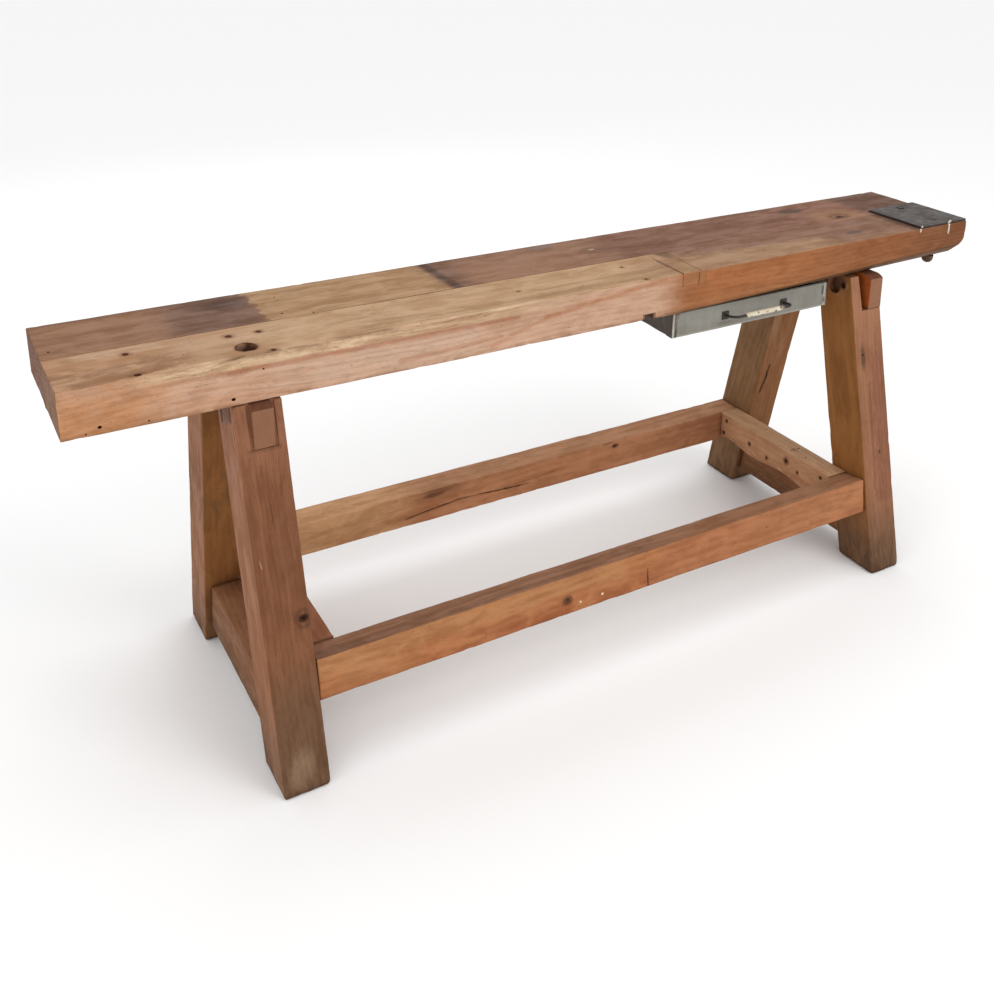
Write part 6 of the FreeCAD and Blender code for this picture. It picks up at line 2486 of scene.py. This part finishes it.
@dataclass
class Drawer:
    """Sheet steel drawer with its hangers, front and handle."""

    sheet: float = 0.0012
    lip: float = 0.0116
    side_return: float = 0.042
    top_return: float = 0.008
    bottom_return: float = 0.014
    bend: float = 0.0022
    rod_bend: float = 0.016
    rod_lift: float = math.radians(8.0)
    dent_inset: float = 0.0125
    dent_drop: float = 0.012
    dent_depth: float = 0.0026

    def build(self) -> None:
        """Make the tray, the front and the handle, and dress the rest."""
        self.tray().build()
        self.front().build()
        self.handle()
        for node in ("drawer_rivets", "drawer_hanger_screws", "drawer_stop_screw", "handle_screws",
                     "left_drawer_hanger", "right_drawer_hanger", "drawer_stop"):
            SmallParts(node, ZINC, 0.0003).dress()

    def tray(self) -> FoldedSheet:
        """Open tray with lips that hang in the hangers.

        Returns:
            The tray.
        """
        low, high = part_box("drawer_tray")
        size = high - low
        wall = size.z - 2 * self.bend
        layers = (
            coat((82, 70, 61), 0.95, TO_LEFT),
            coat((78, 68, 58), 0.6, TO_LEFT, Slope(2, 0.65, 0.622, 0.02), Cover.PATCHY, bare=0.4),
            coat((92, 80, 64), 0.5, DOWNWARDS, Cover.PATCHY, bare=0.42),
            coat((96, 72, 52), 0.5, UPWARDS, Cover.PATCHY, bare=0.5),
        )
        finish = PaintFinish("tray_paint", tone(122, 118, 108), tone(102, 96, 86), tone(84, 66, 50),
                             layers=layers)
        half = size / 2
        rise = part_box("drawer_front")[1].z - self.dent_drop - low.z
        side = (half.x - self.bend, wall, self.lip - self.bend)
        end = (half.y - self.bend, wall + self.bend)
        return FoldedSheet("drawer_tray", finish, "zinc_sheet", (1.0, 0.0, 0.0), (0.0, 1.0, 0.0),
                           (0.0, 0.0, 1.0),
                           ((low.x + high.x) / 2, (low.y + high.y) / 2, low.z), (side, side), (end, end),
                           gauge=self.sheet, bend=self.bend, wave=0.0004, seed=61,
                           dents=(Dent((-half.x, -0.04, 0.0), (0.03, 0.03, 1.0), 0.0015),
                                  Dent((-half.x + self.dent_inset, -half.y - rise, 0.0),
                                       (0.013, 0.040, 1.0), self.dent_depth + 0.0008)))

    def front(self) -> FoldedSheet:
        """Folded front with dents and bare metal at its corners, where highlights and shade are painted
        too.

        Returns:
            The front.
        """
        low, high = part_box("drawer_front")
        size = high - low
        left, right = low.x, high.x
        layers = (
            coat((158, 156, 145), 0.45, TO_FRONT, Zone((left, -1, 0.64), (left + 0.2, 1, 0.7), 0.03, 0.05)),
            coat((126, 124, 112), 0.5, TO_FRONT, Slope(2, 0.65, 0.668, 0.01), Cover.PATCHY, bare=0.38),
            # Light band along the bottom fold: painted highlight
            coat((176, 174, 160), 0.55, Zone((left, -1, 0.6), (right, 1, 0.6185), 0.002, 0.002)),
            coat((96, 84, 74), 0.9, TO_LEFT),
            coat((74, 62, 52), 0.7, TO_LEFT, Cover.STREAKY, bare=0.44),
            # Dark line at the rear edge of the left return: painted shade in the gap
            coat((70, 58, 48), 0.6, Stroke((left, -0.14, 0.668), (left, -0.14, 0.614), 0.004)),
            *self.bare_corner_highlight_and_gap_shade(left, low.y),
            *self.bare_end_and_dent_shade(right, low.y),
            coat((72, 60, 50), 0.3, TO_FRONT, Spot((left + 0.137, -0.1435, 0.626), (0.02, 0.01, 0.003))),
            # Downward faces darker: painted shade
            coat((92, 80, 66), 0.4, DOWNWARDS),
        )
        finish = PaintFinish("front_paint", tone(142, 139, 131), tone(129, 124, 113), tone(78, 62, 48),
                             0.70, layers=layers)
        side = (size.x / 2 - self.bend, self.side_return - self.bend)
        top = (size.z / 2 - self.bend, self.top_return - self.bend)
        bottom = (size.z / 2 - self.bend, self.bottom_return - self.bend)
        short = (size.x / 2 - self.bend, 0.020 - self.bend)
        half = size.x / 2
        return FoldedSheet("drawer_front", finish, "drawer_paint", (1.0, 0.0, 0.0), (0.0, 0.0, -1.0),
                           (0.0, 1.0, 0.0), ((left + right) / 2, low.y, (low.z + high.z) / 2),
                           (side, short),
                           (top, bottom), gauge=self.sheet, bend=self.bend, wave=0.0006, step=0.004,
                           taper=0.42,
                           seed=62, dents=(
                               Dent((half - 0.014, 0.0, 0.0), (0.0016, 1.0, 1.0), 0.0005),
                               Dent((half - 0.008, 0.011, 0.0), (0.005, 0.007, 1.0), 0.0005),
                               Dent((-half + self.dent_inset, self.dent_drop - size.z / 2, 0.0),
                                    (0.0068, 0.030, 1.0), self.dent_depth),
                               Dent((-half + 0.05, 0.02, 0.0), (0.03, 0.012, 1.0), 0.0004),
                               Dent((0.12, -0.01, 0.0), (0.04, 0.014, 1.0), 0.0004),
                               Dent((-0.05, 0.027, 0.0), (0.03, 0.006, 1.0), 0.0004),
                           ))

    @staticmethod
    def bare_corner_highlight_and_gap_shade(left: float, face: float) -> tuple[Layer, ...]:
        """Bare, dented metal down the front's left corner, wider at the top, with a painted highlight along
        its edge and painted shadow in the gap beside the panel.

        Args:
            left: Where the front's left end lies.
            face: Where the front's face lies along the bench's depth.

        Returns:
            The layers.
        """
        # Grey bare metal, a painted highlight, painted shadow in the gap, and a dark edge line
        strips = (((98, 89, 80), 0.007, 0.003, 0.018, 0.85),
                  ((190, 182, 172), 0.0065, 0.0035, 0.0055, 0.95),
                  ((54, 45, 38), 0.0175, 0.0095, 0.0045, 0.9), ((64, 54, 46), 0.0003, 0.0003, 0.0025, 0.7))
        return tuple(coat(colour, share, TO_FRONT,
                          Stroke((left + top, face, 0.674), (left + bottom, face, 0.61), width))
                     for colour, top, bottom, width, share in strips)

    @staticmethod
    def bare_end_and_dent_shade(right: float, face: float) -> tuple[Layer, ...]:
        """Rubbed and dented edge at the front's right end, with painted shade beside the dent.

        Args:
            right: Where the front's right end lies.
            face: Where the front's face lies along the bench's depth.

        Returns:
            The layers.
        """
        # The first two dark strips, left of the bare strip, are painted shade beside the dent
        strips = (((80, 70, 60), 0.0150, 0.668, 0.614, 0.0018, 0.7),
                  ((76, 66, 57), 0.0125, 0.660, 0.644, 0.0050, 0.85),
                  ((176, 174, 164), 0.0070, 0.668, 0.616, 0.0045, 0.7),
                  ((70, 60, 51), 0.0014, 0.674, 0.640, 0.0030, 0.8),
                  ((74, 62, 52), 0.0080, 0.632, 0.626, 0.0060, 0.7))
        return tuple(coat(colour, share, TO_FRONT,
                          Stroke((right - inset, face, high), (right - inset, face, low), width))
                     for colour, inset, high, low, width, share in strips)

    def handle(self) -> None:
        """Bow of bent rod on two plates, with a chipped sleeve."""
        iron = MetalFinish("black_iron", tone(46, 42, 40), tone(66, 58, 52), metallic=0.4, rough=0.5,
                           grime_and_crevice_shade=tone(84, 60, 44), grime_share=0.4)
        low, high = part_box("handle_bow")
        radius = (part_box("handle_feet")[1].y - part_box("handle_feet")[0].y) * 2
        start_x = low.x + radius
        end_x = high.x - radius
        base = Vector((0.0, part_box("handle_feet")[1].y,
                       (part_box("handle_feet")[0].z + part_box("handle_feet")[1].z) / 2))
        out = Vector((0.0, -math.cos(self.rod_lift), math.sin(self.rod_lift)))
        reach = (high.y - low.y - radius) / math.cos(self.rod_lift) + 0.0004
        path = self.bow_path(start_x, end_x, base, out, reach)
        Rod("handle_bow", iron, "black_iron", path, radius * 0.985).build()
        self.grip(base, out, reach).build()
        SmallParts("handle_feet", iron, 0.0005).dress()

    def bow_path(self, start_x: float, end_x: float, base: Vector, out: Vector,
                 reach: float) -> list[Vector]:
        """Middle line of the rod, from foot to foot.

        Args:
            start_x: Middle of the left foot.
            end_x: Middle of the right foot.
            base: Middle of the feet, on the drawer's front.
            out: Way out from the front.
            reach: How far the rod stands off.

        Returns:
            Points along the line.
        """
        along = Vector((1.0, 0.0, 0.0))
        bend = self.rod_bend
        path = [base + along * start_x + out * (reach - bend) * share for share in (0.0, 0.3, 0.6, 1.0)]
        turns = [math.pi / 2 * step / 8 for step in range(1, 9)]
        path += [base + along * (start_x + bend - bend * math.cos(turn))
                 + out * (reach - bend + bend * math.sin(turn)) for turn in turns]
        middle = np.linspace(start_x + bend, end_x - bend, 16)[1:-1]
        path += [base + along * float(x) + out * reach for x in middle]
        path += [base + along * (end_x - bend + bend * math.sin(turn))
                 + out * (reach - bend + bend * math.cos(turn)) for turn in [0.0] + turns]
        path += [base + along * end_x + out * (reach - bend) * share for share in (0.6, 0.3, 0.0)]
        return path

    @staticmethod
    def grip(base: Vector, out: Vector, reach: float) -> "Sleeve":
        """Chipped sleeve on the bow.

        Args:
            base: Middle of the feet, on the drawer's front.
            out: Way out from the front.
            reach: How far the rod stands off.

        Returns:
            The sleeve.
        """
        low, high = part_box("handle_grip")
        line = base + out * reach
        marks = tuple(coat((70, 54, 42), 0.9,
                           Spot((low.x + x, line.y - 0.004, line.z + z), (r, 0.01, r), 0.4, 0.8))
                      for x, z, r in ((0.034, 0.003, 0.0018), (0.058, 0.001, 0.0014),
                                      (0.016, -0.002, 0.0016),
                                      (0.081, -0.002, 0.003), (0.095, 0.003, 0.0022),
                                      (0.044, -0.004, 0.002)))
        layers = (
            coat((120, 100, 78), 0.7, Slope(2, line.z - 0.001, line.z - 0.006, 0.002), Cover.PATCHY,
                 bare=0.4),
            coat((84, 66, 50), 0.8, Slope(0, low.x + 0.008, low.x, 0.008)),
            coat((84, 66, 50), 0.85, Slope(0, high.x - 0.018, high.x - 0.006, 0.012)),
            *marks,
        )
        enamel = PaintFinish("cream_enamel", tone(232, 222, 198), tone(208, 194, 164), tone(70, 52, 40),
                             0.68, 0.3, layers)
        return Sleeve("handle_grip", enamel, "cream_enamel", line, low.x, high.x, (high.y - low.y) / 2)


@dataclass
class Sleeve:
    """Tube with broken ends round a rod that runs along the bench."""

    node: str
    finish: Finish
    slot: str
    line: Vector
    start: float
    end: float
    radius: float
    bore: float = 0.0031
    ragged: float = 0.006
    sides: int = 28
    seed: int = 80

    def build(self) -> bpy.types.Object:
        """Make the sleeve, finish it and let it ride on the drawer.

        Returns:
            The sleeve.
        """
        turns = np.arange(self.sides) / self.sides * math.tau
        around = np.stack((np.cos(turns), np.sin(turns), turns * 0), axis=1)
        first = self.start + self.ragged * noise(around, 0.7, self.seed, 3)
        last = self.end - self.ragged * noise(around, 0.7, self.seed + 1, 3)
        points = []
        stations = [(0.0, self.bore), (0.0, 0.86), (0.02, 1.0)]
        stations += [(share, 1.0) for share in np.linspace(0.06, 0.94, 22)]
        stations += [(0.98, 1.0), (1.0, 0.86), (1.0, self.bore)]
        for share, radius in stations:
            for turn, low, high, place in zip(turns, first, last, around):
                x = low + (high - low) * share
                spot = np.array([[x * 90, place[0], place[1]]])
                worn = 1 - 0.10 * float(noise(spot, 0.6, self.seed + 2, 2)[0])
                reach = self.bore if radius == self.bore else self.radius * radius * worn
                points.append((x, self.line.y + math.cos(turn) * reach,
                               self.line.z + math.sin(turn) * reach))
        faces = []
        rows = len(stations)
        for row, side in itertools.product(range(rows), range(self.sides)):
            beside = (side + 1) % self.sides
            beyond = (row + 1) % rows
            faces.append((row * self.sides + side, row * self.sides + beside,
                          beyond * self.sides + beside, beyond * self.sides + side))
        made = new_object(self.node + "_sleeve", np.array(points), faces)
        return settle(made, self, DRAWER)


def main() -> None:
    """Build the studio and the bench, piece by piece."""
    logging.basicConfig(level=logging.INFO, format="%(message)s", force=True)
    Studio().build()
    BenchTop().build()
    TrestlePair().build()
    Drawer().build()


if __name__ == "__main__":
    main()
